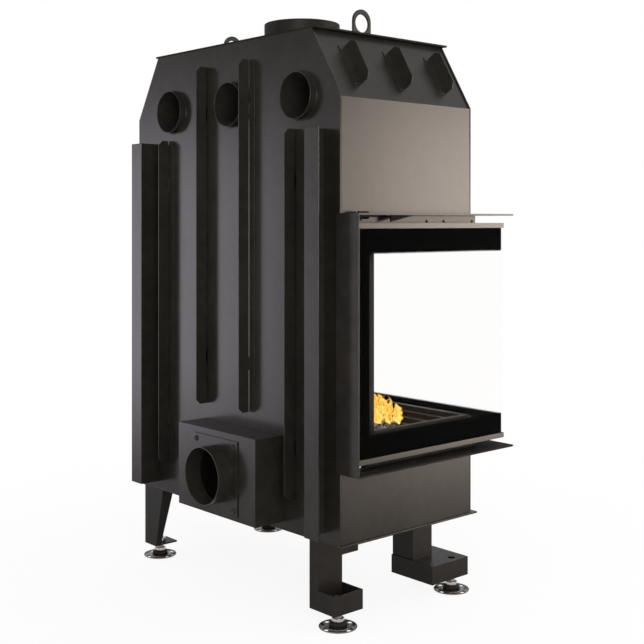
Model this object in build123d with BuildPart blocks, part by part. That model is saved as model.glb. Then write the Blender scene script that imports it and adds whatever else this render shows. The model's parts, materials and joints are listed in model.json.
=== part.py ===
"""Corner fireplace insert: a steel firebox with a chamfered hood, cooling fins, a glass door
that turns the front left corner, a rear air box and four levelling feet.

Millimetres. +Z is up, the front faces -Y and the glazed side faces -X. The origin is on the
floor, under the centre of the whole insert. Places inside the body are given as two distances:
"across", from the left side towards the right, and "deep", from the back towards the front.
"""

import os
from math import hypot

from build123d import *

os.makedirs("parts", exist_ok=True)

# Firebox body
body_width = 745.0
body_depth = 398.0
base_height = 180.0
fold_height = 1084.0
top_height = 1231.0
hood_inset = 86.0
sheet = 4.0
hood_recess = 3.0
top_overhang_side = 10.0
top_overhang_front = 6.0
base_sheet = 4.0
base_lip_front = 16.0
base_lip_side = 5.0
weld_gap = 0.3
hex_sides = 6

# Projecting frame round the two glazed sides
frame_sheet = 4.0
frame_reach_side = 57.0
frame_reach_front = 79.0
frame_low = 325.0
frame_high = 848.0
frame_lap = 8.0

# Openings cut in the left and front panels
opening_low = 395.0
opening_high = 772.0
opening_rear = 95.0
opening_right = 50.0

# Seal frame that the door gasket meets
seal_side = 10.0
seal_front = 4.0
seal_height = 56.0
seal_post_start = 14.0
seal_post_width = 30.0
seal_right_width = 13.0
strip_screw_radius = 3.0
strip_screw_head = 2.0
strip_screw_drop = 12.5
strip_screw_deep = (243.0, 297.0, body_depth - 8.0)

# Door
door_setback_side = 13.0
door_setback_front = 17.0
door_gap_top = 16.0
door_gap_bottom = 17.0
door_gap_right = 3.0
door_rear_gap = 10.0
rail_sheet = 2.5
rail_lip_height = 11.0
rail_lip = 1.8
rail_height = 40.0
rail_cap = 3.0
glass_thickness = 5.0
glass_play = 0.25
hinge_stile_width = 30.0
handle_stile_width = 34.0
gasket_width = 10.0
gasket_inset = 10.0
gasket_gap = 0.3
pane_gap = 0.5

# Door hinges
pivot_from_rear = 10.0
pin_radius = 5.0
running_play = 0.05
bracket_plate = 4.0
bracket_boss = 7.0
bracket_boss_radius = 9.5
bracket_length = 62.0
bracket_width = 34.0
gusset_start = 115.0
gusset_length = 67.0
gusset_depth = 13.5
gusset_sheet = 4.0
hinge_block_length = 28.0
hinge_block_height = 30.0
thrust_collar_radius = 9.0
hinge_bolt_radius = 4.0
hinge_bolt_deep = (39.0, 54.0)
hinge_bolt_from_axis = 10.0
hinge_bolt_hex = 6.5
hinge_bolt_head = 4.0

# Door handle and latch
spindle_radius = 5.0
spindle_from_edge = 15.0
spindle_square = 7.0
bush_radius = 9.0
handle_height = 587.0
handle_standoff = 28.0
handle_rose_radius = 14.0
handle_rose = 4.0
grip_radius = 9.0
grip_length = 128.0
grip_chamfer = 2.0
neck_radius = 6.5
cam_thickness = 5.0
cam_reach = 16.5
cam_hub_radius = 8.0
cam_tip_width = 9.0
cam_clear = 5.0
keeper_reach = 9.0
keeper_height = 22.0
keeper_thickness = 4.0
keeper_clear = 0.4

# Flue collar, convection tubes and lifting eyes
flue_radius = 90.0
flue_wall = 3.0
flue_height = 65.0
flue_deep = 219.0
tube_radius = 50.0
tube_body_radius = 52.0
tube_wall = 2.0
tube_overhang = 17.0
tube_rise = 9.0
tube_inset_left = 121.0
tube_inset_right = 156.0
tube_count = 3
eye_width = 54.0
eye_height = 65.0
eye_sheet = 5.0
eye_deep = 192.0
eye_hole_radius = 20.0
eye_hole_height = 34.0
eye_inset_left = 139.0
eye_inset_right = 133.0

# Fins on the back
fin_sheet = 2.0
fin_wing = 31.0
fin_foot = 20.0
fin_chamfer = 11.0
fin_slot = 5.0
fin_bridge = 30.0
fin_bridge_inset = 100.0
fin_inset_left = 137.0
fin_inset_right = 134.0
fin_count = 4
fin_outer_rise = 70.0
fin_outer_drop = 59.0
fin_inner_rise = 35.0
fin_inner_drop = 44.0

# Fins on the sloping hood panels
hood_fin_length = 99.0
hood_fin_wing = 34.0
hood_fin_start = 38.0
hood_fin_first = 78.0
hood_fin_pitch = 129.5
hood_fin_count = 3

# Vertical rails on the back
rail_rise = 17.0
rail_drop = 64.0
rail_depth = 53.0
rail_flange = 44.0
rail_inset_left = 49.0
rail_inset_right = 94.0
back_rail_sheet = 3.0

# Air box, inlet and valve
air_box_left = 180.0
air_box_width = 280.0
air_box_rise = 13.0
air_box_height = 184.0
air_box_depth = 74.0
air_box_sheet = 2.5
air_across = 319.0
air_rise = 103.0
air_radius = 62.5
air_wall = 2.0
air_collar_length = 35.0
air_flange_margin = 12.0
air_flange_sheet = 3.0
air_screw_spacing = 136.0
air_screw_rows = 2
air_screw_radius = 4.0
air_screw_head = 3.0
air_port_radius = 44.0
valve_thickness = 4.0
valve_overlap = 6.0
valve_hub_radius = 12.0
valve_hub = 8.0
rod_radius = 5.0
rod_front_reach = 52.0
rod_guide_radius = 14.0
rod_guide_length = 10.0
rod_guide_deep = 30.0
guide_bar_height = 20.0
knob_radius = 13.0
knob_length = 20.0
knob_chamfer = 4.0

# Firebox lining, hearth and baffle
lining = 30.0
hearth_low = 322.0
hearth_plate_sheet = 6.0
hearth_floor_thickness = 22.0
lining_rise = 78.0
baffle_thickness = 28.0
baffle_length = 300.0
sill_steps = 4
sill_riser = 12.0
sill_tread = 12.0

# Legs
leg_sheet = 4.0
tray_height = 41.0
tray_low = 31.0
front_column_near = 85.0
front_column_far = 149.0
front_column_behind = 98.0
front_column_before = 36.0
front_tray_near = 23.0
front_tray_behind = 102.0
front_tray_beyond = 17.0
back_column_near = 69.0
back_column_far = 97.0
back_column_deep = 70.0
back_tray_near = 20.0
back_tray_deep = 83.0
leg_back_gap = 3.0
leg_flange_length = 116.0
leg_flange_drop = 42.0
bracket_top_inset = 103.0
bracket_foot_inset = 72.0
bracket_outer_inset = 23.0
bracket_web = 32.0
bracket_web_foot = 14.0
bracket_tab = 62.0

# Levelling feet
foot_left_across = 42.0
foot_right_inset = 45.0
foot_back_deep = 33.0
foot_front_inset = 18.0
foot_radius = 40.0
foot_disc = 3.0
foot_boss_radius = 18.0
foot_boss = 9.0
foot_hex = 12.0
foot_hex_height = 8.0
stud_radius = 8.0
stud_top = 62.0
rim_hole_radius = 4.5
rim_hole_circle = 33.0
rim_holes = 4
nut_hex = 12.0
nut_height = 9.0
stud_play = 0.4

# Overall extents, and where the body stands in them
handle_face = handle_rose + handle_standoff
door_face_front = frame_reach_front - door_setback_front
door_face_side = frame_reach_side - door_setback_side
front_reach = door_face_front + handle_face + grip_radius
back_reach = air_box_depth + air_flange_sheet + air_collar_length
x_left = (frame_reach_side - body_width - base_lip_side) / 2
y_back = (body_depth + front_reach - back_reach) / 2
x_right = x_left + body_width
y_front = y_back - body_depth
top_face = top_height + sheet

# Door outline and its inner layers, as reaches out of the left side and out of the front
door_low = frame_low + frame_sheet + door_gap_bottom
door_high = frame_high - frame_sheet - door_gap_top
glass_side = door_face_side - rail_lip - glass_play
glass_front = door_face_front - rail_lip - glass_play
flange_side = glass_side - glass_thickness - glass_play
flange_front = glass_front - glass_thickness - glass_play
door_inner_side = seal_side + gasket_width
door_inner_front = seal_front + gasket_width
door_rear = y_back - door_rear_gap
door_right = x_right - frame_sheet - door_gap_right
rails_end = door_right - handle_stile_width
pivot_y = door_rear - pivot_from_rear
pivot_x = x_left - (flange_side + door_inner_side) / 2
channel_width = flange_side - door_inner_side - 2 * rail_sheet
hearth_top = hearth_low + hearth_plate_sheet + hearth_floor_thickness
lining_high = opening_high + lining_rise

# Heights and places of what stands on the outside
rim_chamfer = flue_wall / 3
tube_height = fold_height + tube_rise
tube_pitch = (body_width - tube_inset_left - tube_inset_right) / (tube_count - 1)
eye_across = (eye_inset_left, body_width - eye_inset_right)
air_box_low = base_height + air_box_rise
air_height = base_height + air_rise
air_flange = air_screw_spacing + 2 * air_flange_margin
rail_low = base_height + rail_rise
rail_high = fold_height - rail_drop
fin_pitch = (body_width - fin_inset_left - fin_inset_right) / (fin_count - 1)
fin_outer_span = (base_height + fin_outer_rise, fold_height - fin_outer_drop)
fin_inner_span = (air_box_low + air_box_height + fin_inner_rise, top_height - fin_inner_drop)

# Plan rectangles of the left legs as across and deep limits, and places of the brackets and feet
front_column_rear = body_depth - front_column_behind
front_left_column = (front_column_near, front_column_far, front_column_rear, body_depth - front_column_before)
front_tray_rear = body_depth - front_tray_behind
front_left_tray = (front_tray_near, front_column_far, front_tray_rear, body_depth + front_tray_beyond)
back_left_column = (back_column_near, back_column_far, leg_back_gap, back_column_deep)
back_left_tray = (back_tray_near, back_column_far, leg_back_gap, back_tray_deep)
bracket_top_inner = body_width - bracket_top_inset
bracket_foot_inner = body_width - bracket_foot_inset
bracket_outer = body_width - bracket_outer_inset
foot_right_across = body_width - foot_right_inset
foot_front_deep = body_depth - foot_front_inset


def across(distance):
    """X of a place measured from the left side of the body."""
    return x_left + distance


def deep(distance):
    """Y of a place measured from the back of the body towards the front."""
    return y_back - distance


def save(builder, name):
    """Label a finished piece and write it to its own file."""
    builder.part.label = name
    export_step(builder.part, f"parts/{name}.step")


def corner_points(side_out, front_out, side_in, front_in, rear_y, right_x):
    """Plan outline of a strip that runs along the left side, round the corner and along the front."""
    return [
        (x_left - side_out, rear_y),
        (x_left - side_out, y_front - front_out),
        (right_x, y_front - front_out),
        (right_x, y_front - front_in),
        (x_left - side_in, y_front - front_in),
        (x_left - side_in, rear_y),
    ]


def corner_strip(side_out, front_out, side_in, front_in, rear_y, right_x, low, high):
    """Add one corner strip between two heights to the open part."""
    outline = corner_points(side_out, front_out, side_in, front_in, rear_y, right_x)
    with BuildSketch(Plane.XY.offset(low)) as strip:
        with BuildLine():
            Polyline(*outline, close=True)
        make_face()
    extrude(strip.sketch, amount=high - low)


def block(x_range, y_range, z_range, mode=Mode.ADD):
    """Add or cut one straight-sided plate given by its limits."""
    x_low, x_high = x_range
    y_low, y_high = y_range
    z_low, z_high = z_range
    with BuildSketch(Plane.XY.offset(z_low)) as footprint:
        with Locations(((x_low + x_high) / 2, (y_low + y_high) / 2)):
            Rectangle(x_high - x_low, y_high - y_low)
    extrude(footprint.sketch, amount=z_high - z_low, mode=mode)


def end_outline():
    """Outline of the back and front end plates, seen along Y, with their two hood chamfers."""
    return [
        (x_left, base_height),
        (x_right, base_height),
        (x_right, fold_height),
        (x_right - hood_inset, top_height),
        (x_left + hood_inset, top_height),
        (x_left, fold_height),
    ]


def facing_back(y):
    """Plane square to Y whose drawing axes are X and Z; it extrudes towards the front."""
    return Plane((0, y, 0), x_dir=(1, 0, 0), z_dir=(0, -1, 0))


def facing_side(x):
    """Plane square to X whose drawing axes are Y and Z; it extrudes towards the right."""
    return Plane((x, 0, 0), x_dir=(0, 1, 0), z_dir=(1, 0, 0))


tube_places = [across(tube_inset_left + step * tube_pitch) for step in range(tube_count)]

# Back and front end plates
with BuildPart() as back_panel:
    with BuildSketch(facing_back(y_back)):
        with BuildLine():
            Polyline(*end_outline(), close=True)
        make_face()
        with Locations(*[(x, tube_height) for x in tube_places]):
            Circle(tube_body_radius + weld_gap, mode=Mode.SUBTRACT)
        with Locations((across(air_across), air_height)):
            Circle(air_port_radius, mode=Mode.SUBTRACT)
    extrude(amount=sheet)
save(back_panel, "back_panel")

with BuildPart() as front_panel:
    with BuildSketch(facing_back(y_front + sheet)):
        with BuildLine():
            Polyline(*end_outline(), close=True)
        make_face()
        with Locations(*[(x, tube_height) for x in tube_places]):
            Circle(tube_body_radius + weld_gap, mode=Mode.SUBTRACT)
        with Locations((across(air_across), air_height)):
            Circle(rod_guide_radius + weld_gap, mode=Mode.SUBTRACT)
    extrude(amount=sheet)
    block(
        (x_left, x_right - opening_right),
        (y_front, y_front + sheet),
        (opening_low, opening_high),
        mode=Mode.SUBTRACT,
    )
save(front_panel, "front_panel")

# Side panels and hood slopes between the end plates
side_back = y_back - sheet
side_front = y_front + sheet

with BuildPart() as left_panel:
    block((x_left, x_left + sheet), (side_front, side_back), (base_height, fold_height))
    block(
        (x_left, x_left + sheet),
        (side_front, deep(opening_rear)),
        (opening_low, opening_high),
        mode=Mode.SUBTRACT,
    )
save(left_panel, "left_panel")

with BuildPart() as right_panel:
    block((x_right - sheet, x_right), (side_front, side_back), (base_height, fold_height))
save(right_panel, "right_panel")

hood_rise = top_height - fold_height
hood_slope = hypot(hood_inset, hood_rise)
recess_shift = hood_recess * hood_slope / hood_rise
skin_shift = (hood_recess + sheet) * hood_slope / hood_rise

for side_sign, edge_x, hood_name in ((1, x_left, "left_hood_panel"), (-1, x_right, "right_hood_panel")):
    slope_points = [
        (edge_x + side_sign * recess_shift, fold_height),
        (edge_x + side_sign * (hood_inset + recess_shift), top_height),
        (edge_x + side_sign * (hood_inset + skin_shift), top_height),
        (edge_x + side_sign * skin_shift, fold_height),
    ]
    with BuildPart() as hood_panel:
        with BuildSketch(facing_back(side_back)):
            with BuildLine():
                Polyline(*slope_points, close=True)
            make_face()
        extrude(amount=side_back - side_front)
    save(hood_panel, hood_name)

flue_x = (x_left + x_right) / 2
flue_y = deep(flue_deep)

with BuildPart() as top_plate:
    block(
        (x_left + hood_inset - top_overhang_side, x_right - hood_inset + top_overhang_side),
        (y_front - top_overhang_front, y_back),
        (top_height, top_face),
    )
    with BuildSketch(Plane.XY.offset(top_height)):
        with Locations((flue_x, flue_y)):
            Circle(flue_radius - flue_wall)
    extrude(amount=sheet, mode=Mode.SUBTRACT)
save(top_plate, "top_plate")

with BuildPart() as floor_plate:
    block(
        (x_left - base_lip_side, x_right + base_lip_side),
        (y_front - base_lip_front, y_back),
        (base_height - base_sheet, base_height),
    )
save(floor_plate, "floor_plate")

# Flue collar with a chamfered rim
with BuildPart() as flue_collar:
    with BuildSketch(Plane.XY.offset(top_face)):
        with Locations((flue_x, flue_y)):
            Circle(flue_radius)
            Circle(flue_radius - flue_wall, mode=Mode.SUBTRACT)
    extrude(amount=flue_height)
    rim_edges = flue_collar.edges().group_by(Axis.Z)[-1].filter_by(GeomType.CIRCLE)
    chamfer(rim_edges, rim_chamfer)
save(flue_collar, "flue_collar")

# Convection tubes right through the smoke chamber, a little narrower where a hose goes on
for index, tube_x in enumerate(tube_places, start=1):
    with BuildPart() as convection_tube:
        with BuildSketch(facing_back(y_back + tube_overhang)):
            with Locations((tube_x, tube_height)):
                Circle(tube_radius)
        extrude(amount=body_depth + 2 * tube_overhang)
        with BuildSketch(facing_back(y_back)):
            with Locations((tube_x, tube_height)):
                Circle(tube_body_radius)
        extrude(amount=body_depth)
        with BuildSketch(facing_back(y_back + tube_overhang)):
            with Locations((tube_x, tube_height)):
                Circle(tube_radius - tube_wall)
        extrude(amount=body_depth + 2 * tube_overhang, mode=Mode.SUBTRACT)
    save(convection_tube, f"convection_tube_{index}")

# Two lifting eyes welded on the top plate
eye_y = deep(eye_deep)
eye_round = eye_width / 2

with BuildPart() as lifting_eyes:
    for eye_x in eye_across:
        with BuildSketch(facing_side(across(eye_x) - eye_sheet / 2)):
            with BuildLine():
                Polyline(
                    (eye_y - eye_round, top_face + eye_height - eye_round),
                    (eye_y - eye_round, top_face),
                    (eye_y + eye_round, top_face),
                    (eye_y + eye_round, top_face + eye_height - eye_round),
                )
                ThreePointArc(
                    (eye_y + eye_round, top_face + eye_height - eye_round),
                    (eye_y, top_face + eye_height),
                    (eye_y - eye_round, top_face + eye_height - eye_round),
                )
            make_face()
            with Locations((eye_y, top_face + eye_hole_height)):
                Circle(eye_hole_radius, mode=Mode.SUBTRACT)
        extrude(amount=eye_sheet)
save(lifting_eyes, "lifting_eyes")


def fin_wing_outline(length, wing):
    """Wing of a fin lying along +X from the origin, with both outer corners cut off."""
    return [
        (0, 0),
        (length, 0),
        (length, wing - fin_chamfer),
        (length - fin_chamfer, wing),
        (fin_chamfer, wing),
        (0, wing - fin_chamfer),
    ]


def folded_fin(start, along, outward, foot_way, length, wing, slotted):
    """Add one fin: a foot flat on the panel and a wing folded out of it.

    The fold line runs from start along one direction, the wing stands in the outward direction
    and the foot lies in the foot_way direction. On a slotted fin the wing is cut through just
    above the foot, except for two bridges of metal.
    """
    wing_plane = Plane(start, x_dir=along, z_dir=foot_way)
    flip = 1 if wing_plane.y_dir.dot(Vector(*outward)) > 0 else -1
    outline = [(u, flip * v) for u, v in fin_wing_outline(length, wing)]
    with BuildSketch(wing_plane) as wing_sheet:
        with BuildLine():
            Polyline(*outline, close=True)
        make_face()
        if slotted:
            middle = length - 2 * (fin_bridge_inset + fin_bridge)
            for slot_start, slot_length in (
                (0, fin_bridge_inset),
                (fin_bridge_inset + fin_bridge, middle),
                (length - fin_bridge_inset, fin_bridge_inset),
            ):
                with Locations((slot_start + slot_length / 2, flip * (fin_sheet + fin_slot / 2))):
                    Rectangle(slot_length, fin_slot, mode=Mode.SUBTRACT)
    extrude(wing_sheet.sketch, amount=fin_sheet)
    foot_plane = Plane(start, x_dir=along, z_dir=outward)
    way = 1 if foot_plane.y_dir.dot(Vector(*foot_way)) > 0 else -1
    with BuildSketch(foot_plane) as foot_sheet:
        with Locations((length / 2, way * fin_foot / 2)):
            Rectangle(length, fin_foot)
    extrude(foot_sheet.sketch, amount=fin_sheet)


# Long fins on the back, their feet turned towards each other in pairs
for index in range(fin_count):
    outermost = index in (0, fin_count - 1)
    fin_low, fin_high = fin_outer_span if outermost else fin_inner_span
    foot_sign = -1 if index % 2 else 1
    fin_x = across(fin_inset_left + index * fin_pitch)
    with BuildPart() as back_fin:
        folded_fin(
            (fin_x, y_back, fin_low), (0, 0, 1), (0, 1, 0), (foot_sign, 0, 0),
            fin_high - fin_low, fin_wing, slotted=True,
        )
    save(back_fin, f"back_fin_{index + 1}")

# Three short fins on each sloping hood panel
slope_along = (hood_inset / hood_slope, hood_rise / hood_slope)
slope_out = (hood_rise / hood_slope, hood_inset / hood_slope)

for side_sign, edge_x, fins_name in ((1, x_left, "hood_fins_left"), (-1, x_right, "hood_fins_right")):
    run = hood_slope - hood_fin_start - hood_fin_length
    with BuildPart() as hood_fins:
        for step in range(hood_fin_count):
            fin_start = (
                edge_x + side_sign * (recess_shift + run * slope_along[0]),
                deep(hood_fin_first + step * hood_fin_pitch),
                fold_height + run * slope_along[1],
            )
            folded_fin(
                fin_start,
                (side_sign * slope_along[0], 0, slope_along[1]),
                (-side_sign * slope_out[0], 0, slope_out[1]),
                (0, 1, 0),
                hood_fin_length, hood_fin_wing, slotted=False,
            )
    save(hood_fins, fins_name)

# Two folded rails up the back
for web, flange_sign, back_rail_name in (
    (rail_inset_left, -1, "rear_rail_left"),
    (body_width - rail_inset_right, 1, "rear_rail_right"),
):
    with BuildPart() as rear_rail:
        with BuildSketch(Plane.XY.offset(rail_low)):
            with BuildLine():
                Polyline(
                    (across(web), y_back),
                    (across(web), y_back + rail_depth),
                    (across(web + flange_sign * rail_flange), y_back + rail_depth),
                    (across(web + flange_sign * rail_flange), y_back + rail_depth - back_rail_sheet),
                    (across(web + flange_sign * back_rail_sheet), y_back + rail_depth - back_rail_sheet),
                    (across(web + flange_sign * back_rail_sheet), y_back),
                    close=True,
                )
            make_face()
        extrude(amount=rail_high - rail_low)
    save(rear_rail, back_rail_name)

# Air box on the back, open towards the body
air_x = across(air_across)
air_box_back = y_back + air_box_depth
flange_back = air_box_back + air_flange_sheet

with BuildPart() as air_box:
    block(
        (across(air_box_left), across(air_box_left + air_box_width)),
        (y_back, air_box_back),
        (air_box_low, air_box_low + air_box_height),
    )
    block(
        (across(air_box_left) + air_box_sheet, across(air_box_left + air_box_width) - air_box_sheet),
        (y_back, air_box_back - air_box_sheet),
        (air_box_low + air_box_sheet, air_box_low + air_box_height - air_box_sheet),
        mode=Mode.SUBTRACT,
    )
    with BuildSketch(facing_back(air_box_back)):
        with Locations((air_x, air_height)):
            Circle(air_radius - air_wall)
            with GridLocations(air_screw_spacing, air_screw_spacing, air_screw_rows, air_screw_rows):
                Circle(air_screw_radius + weld_gap)
    extrude(amount=air_box_sheet, mode=Mode.SUBTRACT)
save(air_box, "air_box")

with BuildPart() as air_inlet_spigot:
    with BuildSketch(facing_back(flange_back)):
        with Locations((air_x, air_height)):
            Rectangle(air_flange, air_flange)
            Circle(air_radius - air_wall, mode=Mode.SUBTRACT)
            with GridLocations(air_screw_spacing, air_screw_spacing, air_screw_rows, air_screw_rows):
                Circle(air_screw_radius + weld_gap, mode=Mode.SUBTRACT)
    extrude(amount=air_flange_sheet)
    with BuildSketch(facing_back(flange_back + air_collar_length)):
        with Locations((air_x, air_height)):
            Circle(air_radius)
            Circle(air_radius - air_wall, mode=Mode.SUBTRACT)
    extrude(amount=air_collar_length)
save(air_inlet_spigot, "air_inlet_spigot")

# Air valve: a disc on a rod that closes the port in the back panel from outside
valve_y = y_back + weld_gap
rod_front = y_front - rod_front_reach
rod_hole = rod_radius + running_play

with BuildPart() as air_valve_disc:
    with BuildSketch(facing_back(valve_y + valve_thickness)):
        with Locations((air_x, air_height)):
            Circle(air_port_radius + valve_overlap)
            Circle(rod_radius, mode=Mode.SUBTRACT)
    extrude(amount=valve_thickness)
    with BuildSketch(facing_back(valve_y + valve_thickness + valve_hub)):
        with Locations((air_x, air_height)):
            Circle(valve_hub_radius)
            Circle(rod_radius, mode=Mode.SUBTRACT)
    extrude(amount=valve_hub)
save(air_valve_disc, "air_valve_disc")

with BuildPart() as air_control_rod:
    with BuildSketch(facing_back(valve_y + valve_thickness + valve_hub)):
        with Locations((air_x, air_height)):
            Circle(rod_radius)
    extrude(amount=valve_y + valve_thickness + valve_hub - rod_front)
    with BuildSketch(facing_back(rod_front)):
        with Locations((air_x, air_height)):
            Circle(knob_radius)
    extrude(amount=knob_length)
    knob_edges = air_control_rod.edges().group_by(Axis.Y)[0]
    chamfer(knob_edges, knob_chamfer)
save(air_control_rod, "air_control_rod")

with BuildPart() as air_rod_guides:
    with BuildSketch(facing_back(y_front + sheet)):
        with Locations((air_x, air_height)):
            Circle(rod_guide_radius)
            Circle(rod_hole, mode=Mode.SUBTRACT)
    extrude(amount=rod_guide_length)
    with BuildSketch(facing_back(side_back)):
        with Locations((air_x, air_height)):
            Rectangle(2 * (air_port_radius + rod_guide_radius), guide_bar_height)
            Circle(rod_hole, mode=Mode.SUBTRACT)
    extrude(amount=base_sheet)
    with BuildSketch(facing_back(side_back - base_sheet)):
        with Locations((air_x, air_height)):
            Circle(guide_bar_height / 2)
            Circle(rod_hole, mode=Mode.SUBTRACT)
    extrude(amount=rod_guide_deep - base_sheet)
save(air_rod_guides, "air_rod_guides")

# Projecting frame: rear post, top and bottom ledges, right post
with BuildPart() as frame_rear_post:
    block(
        (x_left - frame_reach_side, x_left + frame_lap),
        (y_back, y_back + frame_sheet),
        (frame_low, frame_high),
    )
save(frame_rear_post, "frame_rear_post")

with BuildPart() as frame_right_post:
    block((x_right - frame_sheet, x_right), (y_front - frame_reach_front, y_front), (frame_low, frame_high))
save(frame_right_post, "frame_right_post")

hinge_bolt_x = pivot_x + hinge_bolt_from_axis
hinge_bolt_places = [(hinge_bolt_x, deep(distance)) for distance in hinge_bolt_deep]

for ledge_low, ledge_name in (
    (frame_low, "frame_bottom_ledge"),
    (frame_high - frame_sheet, "frame_top_ledge"),
):
    with BuildPart() as frame_ledge:
        corner_strip(
            frame_reach_side, frame_reach_front, 0, 0, y_back, x_right - frame_sheet,
            ledge_low, ledge_low + frame_sheet,
        )
        with BuildSketch(Plane.XY.offset(ledge_low)):
            with Locations(*hinge_bolt_places):
                Circle(hinge_bolt_radius + weld_gap)
        extrude(amount=frame_sheet, mode=Mode.SUBTRACT)
    save(frame_ledge, ledge_name)

# Seal frame on the body, between the two ledges
seal_low = frame_low + frame_sheet
seal_high = frame_high - frame_sheet
seal_right = rails_end + gasket_width

with BuildPart() as seal_frame:
    for strip_low in (seal_low, seal_high - seal_height):
        corner_strip(
            seal_side, seal_front, 0, 0, deep(seal_post_start), seal_right,
            strip_low, strip_low + seal_height,
        )
    block(
        (x_left - seal_side, x_left),
        (deep(seal_post_start + seal_post_width), deep(seal_post_start)),
        (seal_low, seal_high),
    )
    block(
        (seal_right - seal_right_width, seal_right),
        (y_front - seal_front, y_front),
        (seal_low, seal_high),
    )
save(seal_frame, "seal_frame")

# Screws: four on the air inlet, three on the seal frame's top strip
strip_screw_height = seal_high - strip_screw_drop

with BuildPart() as panel_screws:
    with BuildSketch(facing_back(flange_back)):
        with Locations((air_x, air_height)):
            with GridLocations(air_screw_spacing, air_screw_spacing, air_screw_rows, air_screw_rows):
                Circle(air_screw_radius)
    extrude(amount=air_flange_sheet + air_box_sheet)
    with BuildSketch(facing_back(flange_back)):
        with Locations((air_x, air_height)):
            with GridLocations(air_screw_spacing, air_screw_spacing, air_screw_rows, air_screw_rows):
                RegularPolygon(air_screw_radius + air_screw_head, hex_sides)
    extrude(amount=-air_screw_head)
    with BuildSketch(facing_side(x_left - seal_side - strip_screw_head)):
        with Locations(*[(deep(distance), strip_screw_height) for distance in strip_screw_deep]):
            RegularPolygon(strip_screw_radius, hex_sides)
    extrude(amount=strip_screw_head)
save(panel_screws, "panel_screws")

# Door rails: folded channels that hold the two panes at the top and at the bottom
for rail_name, cap_low, lip_low, flange_low in (
    (
        "door_top_rail",
        door_high - rail_cap,
        door_high - rail_lip_height,
        door_high - rail_height,
    ),
    (
        "door_bottom_rail",
        door_low,
        door_low,
        door_low,
    ),
):
    with BuildPart() as door_rail:
        corner_strip(
            door_face_side, door_face_front, door_inner_side, door_inner_front,
            door_rear, rails_end, cap_low, cap_low + rail_cap,
        )
        corner_strip(
            door_face_side, door_face_front, door_face_side - rail_lip, door_face_front - rail_lip,
            door_rear, rails_end, lip_low, lip_low + rail_lip_height,
        )
        corner_strip(
            flange_side, flange_front, flange_side - rail_sheet, flange_front - rail_sheet,
            door_rear, rails_end, flange_low, flange_low + rail_height,
        )
        corner_strip(
            door_inner_side + rail_sheet, door_inner_front + rail_sheet, door_inner_side, door_inner_front,
            door_rear, rails_end, flange_low, flange_low + rail_height,
        )
        with BuildSketch(Plane.XY.offset(cap_low)):
            with Locations((pivot_x, pivot_y)):
                Circle(pin_radius + weld_gap)
        extrude(amount=rail_cap, mode=Mode.SUBTRACT)
    save(door_rail, rail_name)

# Door stiles
with BuildPart() as door_hinge_stile:
    block(
        (x_left - flange_side, x_left - door_inner_side),
        (door_rear - hinge_stile_width, door_rear),
        (door_low + rail_height, door_high - rail_height),
    )
    block(
        (x_left - flange_side + rail_sheet, x_left - door_inner_side - rail_sheet),
        (door_rear - hinge_stile_width, door_rear - rail_sheet),
        (door_low + rail_height, door_high - rail_height),
        mode=Mode.SUBTRACT,
    )
save(door_hinge_stile, "door_hinge_stile")

spindle_x = door_right - spindle_from_edge
stile_front = y_front - door_face_front
stile_inner = y_front - door_inner_front

with BuildPart() as door_handle_stile:
    block((rails_end, door_right), (stile_front, stile_inner), (door_low, door_high))
    block(
        (rails_end + rail_sheet, door_right - rail_sheet),
        (stile_front + rail_sheet, stile_inner - rail_sheet),
        (door_low + rail_cap, door_high - rail_cap),
        mode=Mode.SUBTRACT,
    )
    with BuildSketch(facing_back(stile_inner - rail_sheet)):
        with Locations((spindle_x, handle_height)):
            Circle(bush_radius)
    extrude(amount=stile_inner - stile_front - 2 * rail_sheet)
    with BuildSketch(facing_back(stile_inner)):
        with Locations((spindle_x, handle_height)):
            Circle(spindle_radius + running_play)
    extrude(amount=stile_inner - stile_front, mode=Mode.SUBTRACT)
save(door_handle_stile, "door_handle_stile")

# Panes, set in the rails and meeting at the open corner
pane_low = door_low + rail_cap
pane_high = door_high - rail_cap
corner_y = y_front - glass_front

with BuildPart() as side_glass:
    block(
        (x_left - glass_side, x_left - glass_side + glass_thickness),
        (corner_y, door_rear - rail_lip),
        (pane_low, pane_high),
    )
save(side_glass, "side_glass")

with BuildPart() as front_glass:
    block(
        (x_left - glass_side + glass_thickness + pane_gap, rails_end - pane_gap),
        (corner_y, corner_y + glass_thickness),
        (pane_low, pane_high),
    )
save(front_glass, "front_glass")

# Rope gasket on the inner face of the door
gasket_low = door_low + gasket_inset
gasket_high = door_high - gasket_inset
gasket_side_in = seal_side + gasket_gap
gasket_front_in = seal_front + gasket_gap

with BuildPart() as door_gasket:
    for strip_low in (gasket_low, gasket_high - gasket_width):
        corner_strip(
            door_inner_side, door_inner_front, gasket_side_in, gasket_front_in,
            pivot_y, rails_end + gasket_width - weld_gap, strip_low, strip_low + gasket_width,
        )
    block(
        (x_left - door_inner_side, x_left - gasket_side_in),
        (pivot_y - gasket_width, pivot_y),
        (gasket_low, gasket_high),
    )
    block(
        (rails_end, rails_end + gasket_width - weld_gap),
        (y_front - door_inner_front, y_front - gasket_front_in),
        (gasket_low, gasket_high),
    )
save(door_gasket, "door_gasket")

# Hinge brackets on the frame, bored for the door's pins
bracket_x = (pivot_x - bracket_width / 2, x_left - seal_side - weld_gap)
bracket_y = (y_back - bracket_length, y_back)

bracket_levels = (
    (seal_high - bracket_plate, seal_high - bracket_plate - bracket_boss),
    (seal_low, seal_low + bracket_plate),
)

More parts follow.
